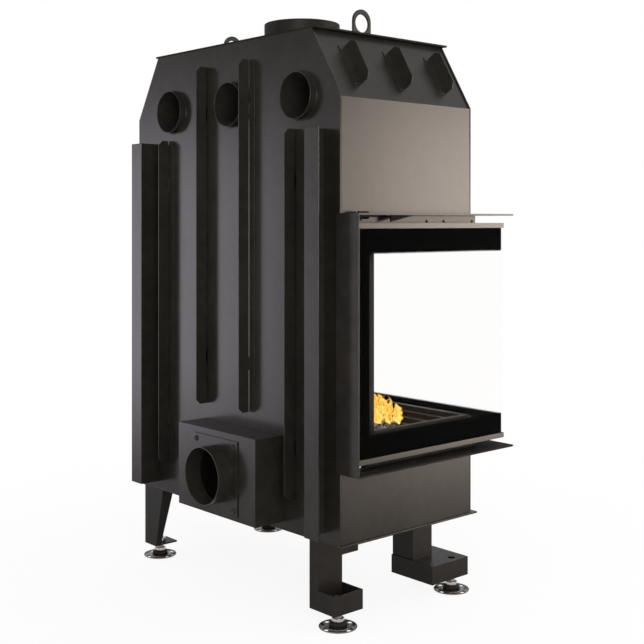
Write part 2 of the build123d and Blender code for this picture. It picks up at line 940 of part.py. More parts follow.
with BuildPart() as hinge_brackets:
    for plate_low, boss_low in bracket_levels:
        block(bracket_x, bracket_y, (plate_low, plate_low + bracket_plate))
        with BuildSketch(Plane.XY.offset(boss_low)):
            with Locations((pivot_x, pivot_y)):
                Circle(bracket_boss_radius)
        extrude(amount=bracket_boss)
    with BuildSketch(Plane.XY.offset(seal_low)):
        with Locations((pivot_x, pivot_y)):
            Circle(pin_radius + running_play)
        with Locations(*hinge_bolt_places):
            Circle(hinge_bolt_radius + weld_gap)
    extrude(amount=seal_high - seal_low, mode=Mode.SUBTRACT)
    with BuildSketch(facing_side(pivot_x - gusset_sheet / 2)):
        with BuildLine():
            Polyline(
                (deep(gusset_start), seal_high),
                (deep(gusset_start + gusset_length), seal_high),
                (deep(gusset_start), seal_high - gusset_depth),
                close=True,
            )
        make_face()
    extrude(amount=gusset_sheet)
save(hinge_brackets, "hinge_brackets")

with BuildPart() as hinge_bolts:
    for head_low, shank_low, nut_low in (
        (seal_high - bracket_plate - hinge_bolt_head, seal_high - bracket_plate, frame_high),
        (seal_low + bracket_plate, frame_low, frame_low - hinge_bolt_head),
    ):
        for hex_low in (head_low, nut_low):
            with BuildSketch(Plane.XY.offset(hex_low)):
                with Locations(*hinge_bolt_places):
                    RegularPolygon(hinge_bolt_hex, hex_sides)
            extrude(amount=hinge_bolt_head)
        with BuildSketch(Plane.XY.offset(shank_low)):
            with Locations(*hinge_bolt_places):
                Circle(hinge_bolt_radius)
        extrude(amount=bracket_plate + frame_sheet)
save(hinge_bolts, "hinge_bolts")

# Door pins: each has a block in the rail's channel and a collar on the bottom one
pin_block_low = (door_high - rail_cap - hinge_block_height, door_low + rail_cap)
top_pin = (pin_block_low[0], seal_high - weld_gap)
bottom_pin = (seal_low + weld_gap, pin_block_low[1] + hinge_block_height)
collar_low = seal_low + bracket_plate + bracket_boss + weld_gap

with BuildPart() as hinge_pins:
    for block_low in pin_block_low:
        block(
            (pivot_x - channel_width / 2, pivot_x + channel_width / 2),
            (door_rear - hinge_block_length, door_rear),
            (block_low, block_low + hinge_block_height),
        )
    for pin_low, pin_high in (top_pin, bottom_pin):
        with BuildSketch(Plane.XY.offset(pin_low)):
            with Locations((pivot_x, pivot_y)):
                Circle(pin_radius)
        extrude(amount=pin_high - pin_low)
    with BuildSketch(Plane.XY.offset(collar_low)):
        with Locations((pivot_x, pivot_y)):
            Circle(thrust_collar_radius)
    extrude(amount=door_low - collar_low)
save(hinge_pins, "hinge_pins")

# Door handle: spindle, rose, neck and a round grip that points left when released
cam_y = stile_inner + cam_clear
spindle_back = cam_y + cam_thickness
grip_y = stile_front - handle_rose - handle_standoff
handle_front = stile_front - weld_gap
grip_end = spindle_x + grip_radius

with BuildPart() as door_handle:
    with BuildSketch(facing_back(cam_y)):
        with Locations((spindle_x, handle_height)):
            Circle(spindle_radius)
    extrude(amount=cam_y - handle_front)
    with BuildSketch(facing_back(spindle_back)):
        with Locations((spindle_x, handle_height)):
            Rectangle(spindle_square, spindle_square)
    extrude(amount=cam_thickness)
    with BuildSketch(facing_back(handle_front)):
        with Locations((spindle_x, handle_height)):
            Circle(handle_rose_radius)
    extrude(amount=handle_rose)
    with BuildSketch(facing_back(handle_front - handle_rose)):
        with Locations((spindle_x, handle_height)):
            Circle(neck_radius)
    extrude(amount=handle_front - handle_rose - grip_y)
    with BuildSketch(facing_side(grip_end - grip_length)):
        with Locations((grip_y, handle_height)):
            Circle(grip_radius)
    extrude(amount=grip_length)
    grip_rims = door_handle.edges().filter_by(GeomType.CIRCLE).group_by(Axis.X)
    chamfer(grip_rims[0] + grip_rims[-1], grip_chamfer)
save(door_handle, "door_handle")

with BuildPart() as latch_cam:
    with BuildSketch(facing_back(spindle_back)):
        with Locations((spindle_x, handle_height)):
            Circle(cam_hub_radius)
        with Locations((spindle_x, handle_height - cam_reach / 2)):
            Rectangle(cam_tip_width, cam_reach)
        with Locations((spindle_x, handle_height)):
            Rectangle(spindle_square, spindle_square, mode=Mode.SUBTRACT)
    extrude(amount=cam_thickness)
save(latch_cam, "latch_cam")

with BuildPart() as latch_keeper:
    keeper_back = cam_y - keeper_clear
    block(
        (x_right - frame_sheet - keeper_reach, x_right - frame_sheet),
        (keeper_back - keeper_thickness, keeper_back),
        (handle_height - keeper_height / 2, handle_height + keeper_height / 2),
    )
save(latch_keeper, "latch_keeper")

# Firebox floor: a steel plate that carries a refractory hearth with a stepped sill
inner_left = sheet + weld_gap
inner_right = body_width - sheet - weld_gap
inner_back = sheet + weld_gap
inner_front = body_depth - sheet - weld_gap

with BuildPart() as hearth_plate:
    block(
        (across(inner_left), across(inner_right)),
        (deep(inner_front), deep(inner_back)),
        (hearth_low, hearth_low + hearth_plate_sheet),
    )
save(hearth_plate, "hearth_plate")

with BuildPart() as hearth_floor:
    block(
        (across(inner_left), across(inner_right)),
        (deep(inner_front), deep(inner_back)),
        (hearth_low + hearth_plate_sheet, hearth_top),
    )
    for step in range(sill_steps):
        reach_in = inner_left + (sill_steps - step) * sill_tread
        corner_strip(
            -inner_left, -inner_left, -reach_in, -reach_in,
            deep(inner_back + lining), across(inner_right - lining),
            hearth_top + step * sill_riser, hearth_top + (step + 1) * sill_riser,
        )
save(hearth_floor, "hearth_floor")

# Refractory linings stand on the hearth floor
with BuildPart() as lining_back:
    block(
        (across(inner_left), across(inner_right)),
        (deep(inner_back + lining), deep(inner_back)),
        (hearth_top, lining_high),
    )
save(lining_back, "lining_back")

with BuildPart() as lining_right:
    block(
        (across(inner_right - lining), across(inner_right)),
        (deep(inner_front), deep(inner_back + lining)),
        (hearth_top, lining_high),
    )
save(lining_right, "lining_right")

sill_high = hearth_top + sill_steps * sill_riser

with BuildPart() as lining_left:
    block(
        (across(inner_left), across(inner_left + lining)),
        (deep(opening_rear), deep(inner_back + lining)),
        (sill_high, lining_high),
    )
save(lining_left, "lining_left")

# Baffle: a refractory slab that rests on the linings
with BuildPart() as baffle:
    block(
        (across(inner_left), across(inner_right)),
        (deep(inner_back + baffle_length), deep(inner_back)),
        (lining_high, lining_high + baffle_thickness),
    )
save(baffle, "baffle")

# Legs on the glazed side: a column on a hollow foot
leg_top = base_height - base_sheet
tray_top = tray_low + tray_height
foot_places = {
    "back_left": (across(foot_left_across), deep(foot_back_deep)),
    "front_left": (across(foot_left_across), deep(foot_front_deep)),
    "back_right": (across(foot_right_across), deep(foot_back_deep)),
    "front_right": (across(foot_right_across), deep(foot_front_deep)),
}


def ranges(limits):
    """X and Y ranges of a plan rectangle given as across and deep limits."""
    return (across(limits[0]), across(limits[1])), (deep(limits[3]), deep(limits[2]))


def shrunk(limits, by):
    """The same two ranges, moved in on every side."""
    x_range, y_range = ranges(limits)
    return (x_range[0] + by, x_range[1] - by), (y_range[0] + by, y_range[1] - by)


def stud_hole(place, low, high):
    """Cut the hole that a foot's stud passes through."""
    with BuildSketch(Plane.XY.offset(low)) as hole:
        with Locations(place):
            Circle(stud_radius + stud_play)
    extrude(hole.sketch, amount=high - low, mode=Mode.SUBTRACT)


with BuildPart() as leg_front_left:
    column_x, column_y = ranges(front_left_column)
    tray_x, tray_y = ranges(front_left_tray)
    block(tray_x, tray_y, (tray_low, tray_top))
    block(
        *shrunk(front_left_tray, leg_sheet),
        (tray_low + leg_sheet, tray_top - leg_sheet),
        mode=Mode.SUBTRACT,
    )
    block(column_x, column_y, (tray_top, leg_top))
    block(*shrunk(front_left_column, leg_sheet), (tray_top, leg_top), mode=Mode.SUBTRACT)
    stud_hole(foot_places["front_left"], tray_low, tray_top)
save(leg_front_left, "leg_front_left")

with BuildPart() as leg_back_left:
    column_x, column_y = ranges(back_left_column)
    tray_x, tray_y = ranges(back_left_tray)
    block(tray_x, tray_y, (tray_low, tray_top))
    block(*shrunk(back_left_tray, leg_sheet), (tray_low + leg_sheet, tray_top), mode=Mode.SUBTRACT)
    block(column_x, column_y, (tray_low, leg_top))
    block(*shrunk(back_left_column, leg_sheet), (tray_low + leg_sheet, leg_top), mode=Mode.SUBTRACT)
    block(
        (column_x[0], column_x[0] + leg_sheet),
        (deep(leg_flange_length), column_y[0]),
        (leg_top - leg_flange_drop, leg_top),
    )
    stud_hole(foot_places["back_left"], tray_low, tray_low + leg_sheet)
save(leg_back_left, "leg_back_left")

# Legs on the blind side: tapered folded brackets, one the mirror of the other
taper = bracket_foot_inner - bracket_top_inner
bracket_height = leg_top - tray_low
web_start = leg_sheet * taper / bracket_height
web_end = hypot(taper, bracket_height)

for bracket_name, turn, face_y in (
    ("back_right", 1, y_back - leg_back_gap),
    ("front_right", -1, y_front - base_lip_front + leg_back_gap),
):
    foot_x, foot_y = foot_places[bracket_name]
    tab_end = face_y - turn * bracket_tab
    web_plane = Plane(
        (across(bracket_top_inner), face_y, leg_top),
        x_dir=(taper, 0, -bracket_height),
        z_dir=(bracket_height, 0, taper),
    )
    with BuildPart() as leg_bracket:
        with BuildSketch(facing_back(face_y)):
            with BuildLine():
                Polyline(
                    (across(bracket_top_inner), leg_top),
                    (across(bracket_outer), leg_top),
                    (across(bracket_outer), tray_low),
                    (across(bracket_foot_inner), tray_low),
                    close=True,
                )
            make_face()
        extrude(amount=turn * leg_sheet)
        with BuildSketch(web_plane):
            with BuildLine():
                Polyline(
                    (web_start, 0),
                    (web_end, 0),
                    (web_end, -turn * bracket_web_foot),
                    (web_start, -turn * bracket_web),
                    close=True,
                )
            make_face()
        extrude(amount=leg_sheet)
        block(
            (across(bracket_foot_inner), across(bracket_outer)),
            (min(face_y, tab_end), max(face_y, tab_end)),
            (tray_low, tray_low + leg_sheet),
        )
        stud_hole((foot_x, foot_y), tray_low, tray_low + leg_sheet)
    save(leg_bracket, f"leg_{bracket_name}")

# Levelling feet: a drilled disc, a boss, a fixed hexagon and a stud
for foot_name, (foot_x, foot_y) in foot_places.items():
    with BuildPart() as foot:
        with BuildSketch():
            with Locations((foot_x, foot_y)):
                Circle(foot_radius)
                with PolarLocations(rim_hole_circle, rim_holes):
                    Circle(rim_hole_radius, mode=Mode.SUBTRACT)
        extrude(amount=foot_disc)
        with BuildSketch(Plane.XY.offset(foot_disc)):
            with Locations((foot_x, foot_y)):
                Circle(foot_boss_radius)
        extrude(amount=foot_boss)
        with BuildSketch(Plane.XY.offset(foot_disc + foot_boss)):
            with Locations((foot_x, foot_y)):
                RegularPolygon(foot_hex, hex_sides, major_radius=False)
        extrude(amount=foot_hex_height)
        with BuildSketch(Plane.XY.offset(foot_disc + foot_boss + foot_hex_height)):
            with Locations((foot_x, foot_y)):
                Circle(stud_radius)
        extrude(amount=stud_top - foot_disc - foot_boss - foot_hex_height)
    save(foot, f"foot_{foot_name}")

# Hexagon nuts on the studs, one above each leg's sole
with BuildPart() as foot_nuts:
    with BuildSketch(Plane.XY.offset(tray_low + leg_sheet)):
        with Locations(*foot_places.values()):
            RegularPolygon(nut_hex, hex_sides, major_radius=False)
            Circle(stud_radius + running_play, mode=Mode.SUBTRACT)
    extrude(amount=nut_height)
save(foot_nuts, "foot_nuts")
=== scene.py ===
import json
import math
import random

import bpy
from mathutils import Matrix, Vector, noise


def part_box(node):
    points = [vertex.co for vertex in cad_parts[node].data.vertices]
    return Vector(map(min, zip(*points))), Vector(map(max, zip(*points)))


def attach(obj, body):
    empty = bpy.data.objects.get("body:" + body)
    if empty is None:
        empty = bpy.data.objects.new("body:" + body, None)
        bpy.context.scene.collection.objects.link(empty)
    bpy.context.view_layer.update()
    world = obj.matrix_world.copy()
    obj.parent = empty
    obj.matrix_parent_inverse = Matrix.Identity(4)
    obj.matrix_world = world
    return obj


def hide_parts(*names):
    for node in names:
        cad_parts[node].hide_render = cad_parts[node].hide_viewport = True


bl_info = {
    "name": "Corner fireplace insert",
    "version": (1, 0, 0),
    "blender": (4, 5, 0),
    "location": "View3D > Sidebar > Insert",
    "description": "Finishes, fire bed, rope seal, feet and welds of a corner fireplace insert",
    "category": "Object",
}

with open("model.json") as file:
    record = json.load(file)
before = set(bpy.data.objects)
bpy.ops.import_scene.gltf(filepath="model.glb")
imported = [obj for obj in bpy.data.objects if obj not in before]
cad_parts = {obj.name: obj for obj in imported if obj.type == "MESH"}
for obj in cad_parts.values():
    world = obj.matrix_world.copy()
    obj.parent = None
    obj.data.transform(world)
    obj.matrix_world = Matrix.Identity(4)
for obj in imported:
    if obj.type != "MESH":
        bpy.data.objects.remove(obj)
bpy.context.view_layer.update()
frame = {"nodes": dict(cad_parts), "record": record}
NODES = frame["nodes"]

BACK_LOW, BACK_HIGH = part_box("back_panel")
X_LEFT, Y_BACK = BACK_LOW.x, BACK_HIGH.y
HEARTH_THICKNESS = 0.022
HEARTH_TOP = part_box("hearth_floor")[0].z + HEARTH_THICKNESS
TURN = 2 * math.pi
UP = Vector((0, 0, 1))
SIDEWAYS = Vector((1, 0, 0))
BACKWARDS = Vector((0, 1, 0))
FINE_EDGE = 0.0004
PRINT_FADE = 0.0055
SHADED = "out_of_paint_lamps"
# The photograph in pixels: its width, the focal length and how far its horizon is off centre
PHOTO_WIDTH, PHOTO_FOCAL, PHOTO_SHIFT = 644, 1099, -100


# Sizes and colours that a user would change


class InsertPaintSettings(bpy.types.PropertyGroup):
    """Colours and edges of the painted sheet metal."""

    casing: bpy.props.FloatVectorProperty(
        name="Casing colour", description="Heat-proof paint on the casing", subtype="COLOR",
        default=(0.0135, 0.0123, 0.0105), min=0, max=1)
    frame: bpy.props.FloatVectorProperty(
        name="Frame colour", description="Matt paint of the frame round the glazed sides",
        subtype="COLOR", default=(0.0165, 0.0150, 0.0138), min=0, max=1)
    sheen: bpy.props.FloatProperty(
        name="Paint roughness", description="Roughness of the satin paint", subtype="FACTOR",
        default=0.22, min=0, max=1)
    shine: bpy.props.FloatProperty(
        name="Paint specular", description="Specular level of the satin paint", subtype="FACTOR",
        default=0.07, min=0, max=1)
    edge: bpy.props.FloatProperty(
        name="Edge rounding", description="Width of the rounding on cut sheet edges",
        unit="LENGTH", default=0.0006, min=0, max=0.002)
    bend: bpy.props.FloatProperty(
        name="Bend rounding", description="Width of the rounding on folded pieces",
        unit="LENGTH", default=0.0012, min=0, max=0.0014)


class InsertTrimSettings(bpy.types.PropertyGroup):
    """Sizes of welds, threads, the rope seal and the glass print."""

    bead: bpy.props.FloatProperty(
        name="Weld bead", description="Radius of a weld bead",
        unit="LENGTH", default=0.0018, min=0.0005)
    slit: bpy.props.FloatProperty(
        name="Fin slit", description="Width of the slit along a fin's bend",
        unit="LENGTH", default=0.0018, min=0.0005)
    thread: bpy.props.FloatProperty(
        name="Thread pitch", description="Pitch of the levelling studs",
        unit="LENGTH", default=0.002, min=0.0005)
    braid: bpy.props.FloatProperty(
        name="Braid pitch", description="Length of one lozenge of the rope seal",
        unit="LENGTH", default=0.005, min=0.001)
    print_top: bpy.props.FloatProperty(
        name="Print top", description="Height where the upper black glass print ends",
        unit="LENGTH", default=0.769)
    print_bottom: bpy.props.FloatProperty(
        name="Print bottom", description="Height where the lower black glass print ends",
        unit="LENGTH", default=0.398)
    print_rear: bpy.props.FloatProperty(
        name="Print rear", description="Distance from the back where the rear print ends",
        unit="LENGTH", default=0.043)


class InsertFireSettings(bpy.types.PropertyGroup):
    """Place and strength of the fire on the hearth."""

    across: bpy.props.FloatProperty(
        name="Fire across", description="Middle of the fire from the left side",
        unit="LENGTH", default=0.205)
    deep: bpy.props.FloatProperty(
        name="Fire deep", description="Middle of the fire from the back",
        unit="LENGTH", default=0.235)
    glow: bpy.props.FloatProperty(
        name="Ember glow", description="Strength of the glowing embers", default=2.0, min=0)
    embers: bpy.props.IntProperty(
        name="Embers", description="Number of loose embers", default=110, min=0)
    tongues: bpy.props.IntProperty(
        name="Flames", description="Number of tongues of flame", default=30, min=0)
    flame: bpy.props.FloatProperty(
        name="Flame glow", description="Strength of the flames", default=1.15, min=0)


class InsertStageSettings(bpy.types.PropertyGroup):
    """Camera, lamps and floor."""

    eye_left: bpy.props.FloatProperty(
        name="Camera left", description="Camera distance beyond the left side",
        unit="LENGTH", default=1.6216)
    eye_back: bpy.props.FloatProperty(
        name="Camera back", description="Camera distance behind the back",
        unit="LENGTH", default=1.4878)
    eye_height: bpy.props.FloatProperty(
        name="Camera height", description="Camera height over the floor",
        unit="LENGTH", default=0.83)
    azimuth: bpy.props.FloatProperty(
        name="Camera azimuth", description="Direction the camera looks in", subtype="ANGLE",
        default=math.radians(228.4))
    focal: bpy.props.FloatProperty(
        name="Focal length in frame widths", description="Focal length over the frame's width",
        default=PHOTO_FOCAL / PHOTO_WIDTH)
    rise: bpy.props.FloatProperty(
        name="Camera shift", description="Vertical shift in frame widths",
        default=PHOTO_SHIFT / PHOTO_WIDTH)
    key: bpy.props.FloatProperty(
        name="Key lamp", description="Radiance of the lamp on the glazed side",
        default=38.0, min=0)
    back: bpy.props.FloatProperty(
        name="Back lamp", description="Radiance of the lamp on the back", default=9.9, min=0)
    post: bpy.props.FloatProperty(
        name="Post lamp", description="Radiance of the lamp on the rear post",
        default=5.445, min=0)
    rim: bpy.props.FloatProperty(
        name="Edge lamp", description="Radiance of the lamp that picks out rounded edges",
        default=70.0, min=0)
    side: bpy.props.FloatProperty(
        name="Side lamp", description="Radiance of the soft lamp without highlights",
        default=11.0, min=0)
    top: bpy.props.FloatProperty(
        name="Top lamp", description="Radiance of the lamp over the front",
        default=3.2, min=0)
    fill: bpy.props.FloatProperty(
        name="Fill", description="Strength of the soft light from all round",
        default=0.82, min=0)
    floor: bpy.props.FloatVectorProperty(
        name="Floor colour", description="Colour of the studio floor", subtype="COLOR",
        default=(0.82, 0.82, 0.81), min=0, max=1)


# Shader maths as expressions


class Value:
    """One shader socket; arithmetic on it adds Math nodes."""

    def __init__(self, recipe, socket):
        self.recipe, self.socket = recipe, socket

    def math(self, operation, *values):
        return self.recipe.add(
            "ShaderNodeMath", {"operation": operation}, dict(enumerate(values)))

    def __add__(self, other):
        return self.math("ADD", self, other)

    def __sub__(self, other):
        return self.math("SUBTRACT", self, other)

    def __rsub__(self, other):
        return self.math("SUBTRACT", other, self)

    def __mul__(self, other):
        return self.math("MULTIPLY", self, other)

    def __pow__(self, other):
        return self.math("POWER", self, other)

    def __lt__(self, other):
        return self.math("LESS_THAN", self, other)

    def __abs__(self):
        return self.math("ABSOLUTE", self)

    __radd__, __rmul__ = __add__, __mul__

    def wave(self, length):
        """Cosine that repeats after a length."""
        return self.math("COSINE", self * (TURN / length))

    def most(self, other):
        return self.math("MAXIMUM", self, other)

    def ramp(self, low, high, first=0.0, last=1.0):
        """Smooth change from first to last while the value goes from low to high."""
        return self.recipe.add(
            "ShaderNodeMapRange", {"interpolation_type": "SMOOTHSTEP"},
            {0: self, 1: low, 2: high, 3: first, 4: last})


class Recipe:
    """One procedural material."""

    def __init__(self, name):
        self.material = bpy.data.materials.new(name)
        self.material.use_nodes = True
        self.tree = self.material.node_tree
        self.tree.nodes.clear()

    @classmethod
    def within(cls, tree):
        """The same means for the nodes of a lamp or of the world."""
        recipe = cls.__new__(cls)
        recipe.tree = tree
        return recipe

    def add(self, kind, settings=None, inputs=None, output=0):
        """A node of a type, its settings first, then the values or links of its sockets."""
        node = self.tree.nodes.new(kind)
        for key, value in (settings or {}).items():
            if key == "stops":
                while len(node.color_ramp.elements) < len(value):
                    node.color_ramp.elements.new(0.5)
                for stop, (position, colour) in zip(node.color_ramp.elements, value):
                    stop.position, stop.color = position, (*colour, 1)
            else:
                setattr(node, key, value)
        for key, value in (inputs or {}).items():
            if isinstance(value, Value):
                self.tree.links.new(value.socket, node.inputs[key])
            elif node.inputs[key].type == "RGBA":
                node.inputs[key].default_value = (*value, 1)
            else:
                node.inputs[key].default_value = value
        return Value(self, node.outputs[output])

    def place(self):
        return self.add("ShaderNodeTexCoord", output="Object")

    def axes(self, vector=None):
        split = self.add("ShaderNodeSeparateXYZ", None, {0: vector or self.place()})
        return [Value(self, split.socket.node.outputs[axis]) for axis in range(3)]

    def facing(self, axis):
        """How far the surface looks along one axis of the room."""
        normal = self.add("ShaderNodeNewGeometry", output="Normal")
        return self.axes(normal)[axis]

    def stretched(self, x, y, z):
        return self.add(
            "ShaderNodeVectorMath", {"operation": "MULTIPLY"}, {0: self.place(), 1: (x, y, z)})

    def noise(self, scale, detail=3.0, roughness=0.5, vector=None, distortion=0.0):
        return self.add("ShaderNodeTexNoise", None, {
            "Vector": vector or self.place(), "Scale": scale, "Detail": detail,
            "Roughness": roughness, "Distortion": distortion})

    def cells(self, scale, output="Distance", feature="F1", vector=None):
        return self.add("ShaderNodeTexVoronoi", {"feature": feature}, {
            "Vector": vector or self.place(), "Scale": scale}, output)

    def mix(self, mask, first, second):
        """First colour where the mask is 0, second where it is 1."""
        return self.add(
            "ShaderNodeMix", {"data_type": "RGBA"}, {0: mask, 6: first, 7: second}, output=2)

    def colours(self, value, *stops):
        return self.add("ShaderNodeValToRGB", {"stops": stops}, {0: value})

    def bump(self, height, distance):
        return self.add("ShaderNodeBump", None, {"Height": height, "Distance": distance})

    def principled(self, **inputs):
        """The main surface shader, its sockets named in small letters with underscores."""
        named = {
            key.replace("_", " ").title().replace("Ior", "IOR"): value
            for key, value in inputs.items()}
        return self.add("ShaderNodeBsdfPrincipled", None, named)

    def surface(self, **inputs):
        """The finished material where one main shader is all it needs."""
        return self.finish(self.principled(**inputs))

    def finish(self, surface):
        output = self.tree.nodes.new("ShaderNodeOutputMaterial")
        self.tree.links.new(surface.socket, output.inputs["Surface"])
        return self.material


# Finishes


def satin_paint(name, colour, roughness, shine, dust=0.25):
    """Heat-proof stove paint: fine orange peel, faint mottling, dust on what faces up."""
    r = Recipe(name)
    broad = r.noise(5.0, 4.0, 0.55)
    patches = r.noise(38.0, 3.0, 0.6)
    speck = r.noise(900.0, 2.0, 0.6)
    peel = r.noise(520.0, 3.0, 0.55)
    shade = broad * 0.5 + patches * 0.3 + speck * 0.2
    light = tuple(min(1.0, c * 1.22 + 0.001) for c in colour)
    dark = tuple(c * 0.8 for c in colour)
    base = r.mix(shade.ramp(0.38, 0.62), dark, light)
    lying = r.facing(2).ramp(0.6, 1.0)
    settled = lying * r.noise(16.0, 5.0, 0.65).ramp(0.42, 0.72) * dust
    base = r.mix(settled, base, (0.11, 0.105, 0.1))
    rub = r.noise(30.0, 4.0, 0.6, r.stretched(1, 1, 0.15)).ramp(0.55, 0.8)
    rough = shade * 0.1 + (roughness - 0.05) + rub * 0.04 + settled * 0.25
    return r.surface(
        base_color=base, roughness=rough, specular_ior_level=shine,
        normal=r.bump(peel + speck * 0.4, 0.00003))


def clear_glass(name):
    """Ceramic glass: clear, faintly warm, with wipe marks; lamps shine through it."""
    r = Recipe(name)
    wipes = r.noise(9.0, 5.0, 0.7, r.stretched(1, 1, 2.2), 1.4).ramp(0.5, 0.85)
    glass = r.principled(
        base_color=(0.995, 0.993, 0.988), roughness=wipes * 0.02 + 0.004, ior=1.08,
        transmission_weight=1.0)
    clear = r.add("ShaderNodeBsdfTransparent", None, {0: (0.98, 0.975, 0.965)})
    lamp = r.add("ShaderNodeLightPath", output="Is Shadow Ray")
    return r.finish(r.add("ShaderNodeMixShader", None, {0: lamp, 1: glass, 2: clear}))


def glass_print(name, top, bottom, rear, right):
    """Black enamel fired on the glass; its inner border breaks up into dots."""
    r, pitch = Recipe(name), 0.0018
    x, y, z = r.axes()
    reach = (z - top).most(bottom - z).most(y - rear).most(x - right)
    dots = (x + y).wave(pitch) * z.wave(pitch) * 0.5 + 0.5
    solid = reach.ramp(-PRINT_FADE, 0.0, 0.0, 1.01)
    enamel = r.noise(260.0, 3.0)
    return r.surface(
        base_color=r.mix(enamel, (0.0005, 0.0005, 0.0005), (0.0012, 0.001, 0.0009)),
        roughness=enamel * 0.1 + 0.3, specular_ior_level=0.0, alpha=dots < solid,
        normal=r.bump(enamel, 0.00002))


def woven_rope(name):
    """Braided glass fibre rope, graphite grey with paler rubbed strands."""
    r = Recipe(name)
    strand = r.noise(1400.0, 2.0, 0.6)
    soot = r.noise(22.0, 4.0, 0.6)
    tone = r.colours(
        strand * 0.55 + soot * 0.45, (0.25, (0.015, 0.014, 0.013)), (0.55, (0.045, 0.042, 0.039)),
        (0.8, (0.11, 0.105, 0.098)))
    return r.surface(
        base_color=tone, roughness=soot * 0.1 + 0.82, specular_ior_level=0.08,
        normal=r.bump(strand, 0.0002))


def refractory_board(name):
    """Pressed vermiculite board: buff grains, soot where the fire licks it."""
    r = Recipe(name)
    joint_x, joint_z, half_gap = 0.03, 0.6, 0.0009
    x, _, z = r.axes()
    grain = r.cells(420.0)
    flake = r.cells(150.0, "Color")
    tone = r.axes(flake)[0]
    base = r.colours(
        tone * 0.6 + grain * 0.4, (0.1, (0.10, 0.085, 0.066)), (0.5, (0.19, 0.165, 0.13)),
        (0.9, (0.30, 0.27, 0.215)))
    smoke = r.noise(6.0, 5.0, 0.6) + z.ramp(HEARTH_TOP, HEARTH_TOP + 0.5, 0.22, 0.02)
    base = r.mix(smoke.ramp(0.42, 0.68), base, (0.022, 0.02, 0.018))
    seam = (abs(x - joint_x) < half_gap).most(abs(z - joint_z) < half_gap)
    base = r.mix(seam, base, (0.01, 0.009, 0.008))
    return r.surface(
        base_color=base, roughness=grain * 0.1 + 0.85, specular_ior_level=0.08,
        normal=r.bump(grain * 0.5 + tone - seam * 4.0, 0.0004))


def graphite_plate(name):
    """Dark cast hearth and stepped sill, brushed with graphite; painted light makes its up-facing
    treads paler.
    """
    r = Recipe(name)
    brushed = r.noise(26.0, 4.0, 0.6, r.stretched(1, 1, 6))
    grain = r.noise(420.0, 3.0, 0.6)
    x, _, z = r.axes()
    lying = r.facing(2).ramp(0.5, 0.9)
    base = r.mix(brushed, (0.012, 0.0075, 0.0055), (0.024, 0.016, 0.012))
    over_floor = z.ramp(HEARTH_TOP + 0.004, HEARTH_TOP + 0.012)
    inside_glass = x.ramp(X_LEFT + 0.054, X_LEFT + 0.060)
    # Painted light: the up-facing treads above the floor and inside the glass get a paler colour,
    # as if lit from above
    base = r.mix(lying * over_floor * inside_glass, base, (0.09, 0.08, 0.071))
    return r.surface(
        base_color=base, roughness=brushed * 0.15 + 0.42, specular_ior_level=0.08,
        normal=r.bump(grain, 0.00004))


def raw_steel(name, low, high, roughness, metallic=1.0, heat=0.0):
    """Rolled or drawn steel with faint draw lines and a little heat tint."""
    r = Recipe(name)
    lines = r.noise(60.0, 4.0, 0.6, r.stretched(1, 1, 14))
    cloud = r.noise(12.0, 4.0, 0.6)
    base = r.mix(cloud * 0.6 + lines * 0.4, low, high)
    base = r.mix(cloud.ramp(0.5, 0.75) * heat, base, (0.11, 0.07, 0.045))
    return r.surface(
        base_color=base, metallic=metallic, roughness=lines * 0.14 + roughness,
        normal=r.bump(lines, 0.00002))


def zinc_plate(name, tint=(0.62, 0.63, 0.64), roughness=0.26):
    """Bright zinc with the crystalline mottling of plated fasteners."""
    r = Recipe(name)
    spangle = r.axes(r.cells(240.0, "Color"))[1]
    stain = r.noise(90.0, 4.0, 0.6)
    low = tuple(c * 0.72 for c in tint)
    base = r.mix(spangle * 0.5 + stain * 0.5, low, tint)
    return r.surface(
        base_color=base, metallic=1.0, roughness=stain * 0.16 + (roughness - 0.08),
        normal=r.bump(stain, 0.00002))


def moulded_black(name):
    """Glass-filled nylon of the feet's bosses."""
    r = Recipe(name)
    grain = r.noise(700.0, 3.0, 0.6)
    return r.surface(
        base_color=r.mix(grain, (0.010, 0.010, 0.011), (0.022, 0.022, 0.023)),
        roughness=grain * 0.15 + 0.45, specular_ior_level=0.08, normal=r.bump(grain, 0.00006))


def weld_metal(name, colour):
    """Painted-over weld bead, a touch glossier than the sheet."""
    r = Recipe(name)
    spatter = r.noise(800.0, 3.0, 0.6)
    return r.surface(
        base_color=r.mix(spatter, tuple(c * 0.7 for c in colour), tuple(c * 1.5 for c in colour)),
        roughness=spatter * 0.15 + 0.4, specular_ior_level=0.04, normal=r.bump(spatter, 0.0001))


def hearth_ash(name):
    """Fine pale ash with darker char crumbs and a dull glow near the middle."""
    r = Recipe(name)
    fine = r.noise(160.0, 6.0, 0.7)
    crumbs = r.cells(130.0)
    base = r.colours(
        fine, (0.3, (0.05, 0.045, 0.04)), (0.5, (0.2, 0.19, 0.18)), (0.72, (0.46, 0.44, 0.42)))
    base = r.mix(crumbs < 0.16, base, (0.02, 0.018, 0.016))
    heat = r.noise(38.0, 4.0, 0.6).ramp(0.6, 0.76)
    glow = r.mix(heat, (0, 0, 0), (1.0, 0.16, 0.02))
    return r.surface(
        base_color=base, roughness=fine * 0.1 + 0.88, specular_ior_level=0.05,
        emission_color=glow, emission_strength=1.2, normal=r.bump(fine, 0.003))


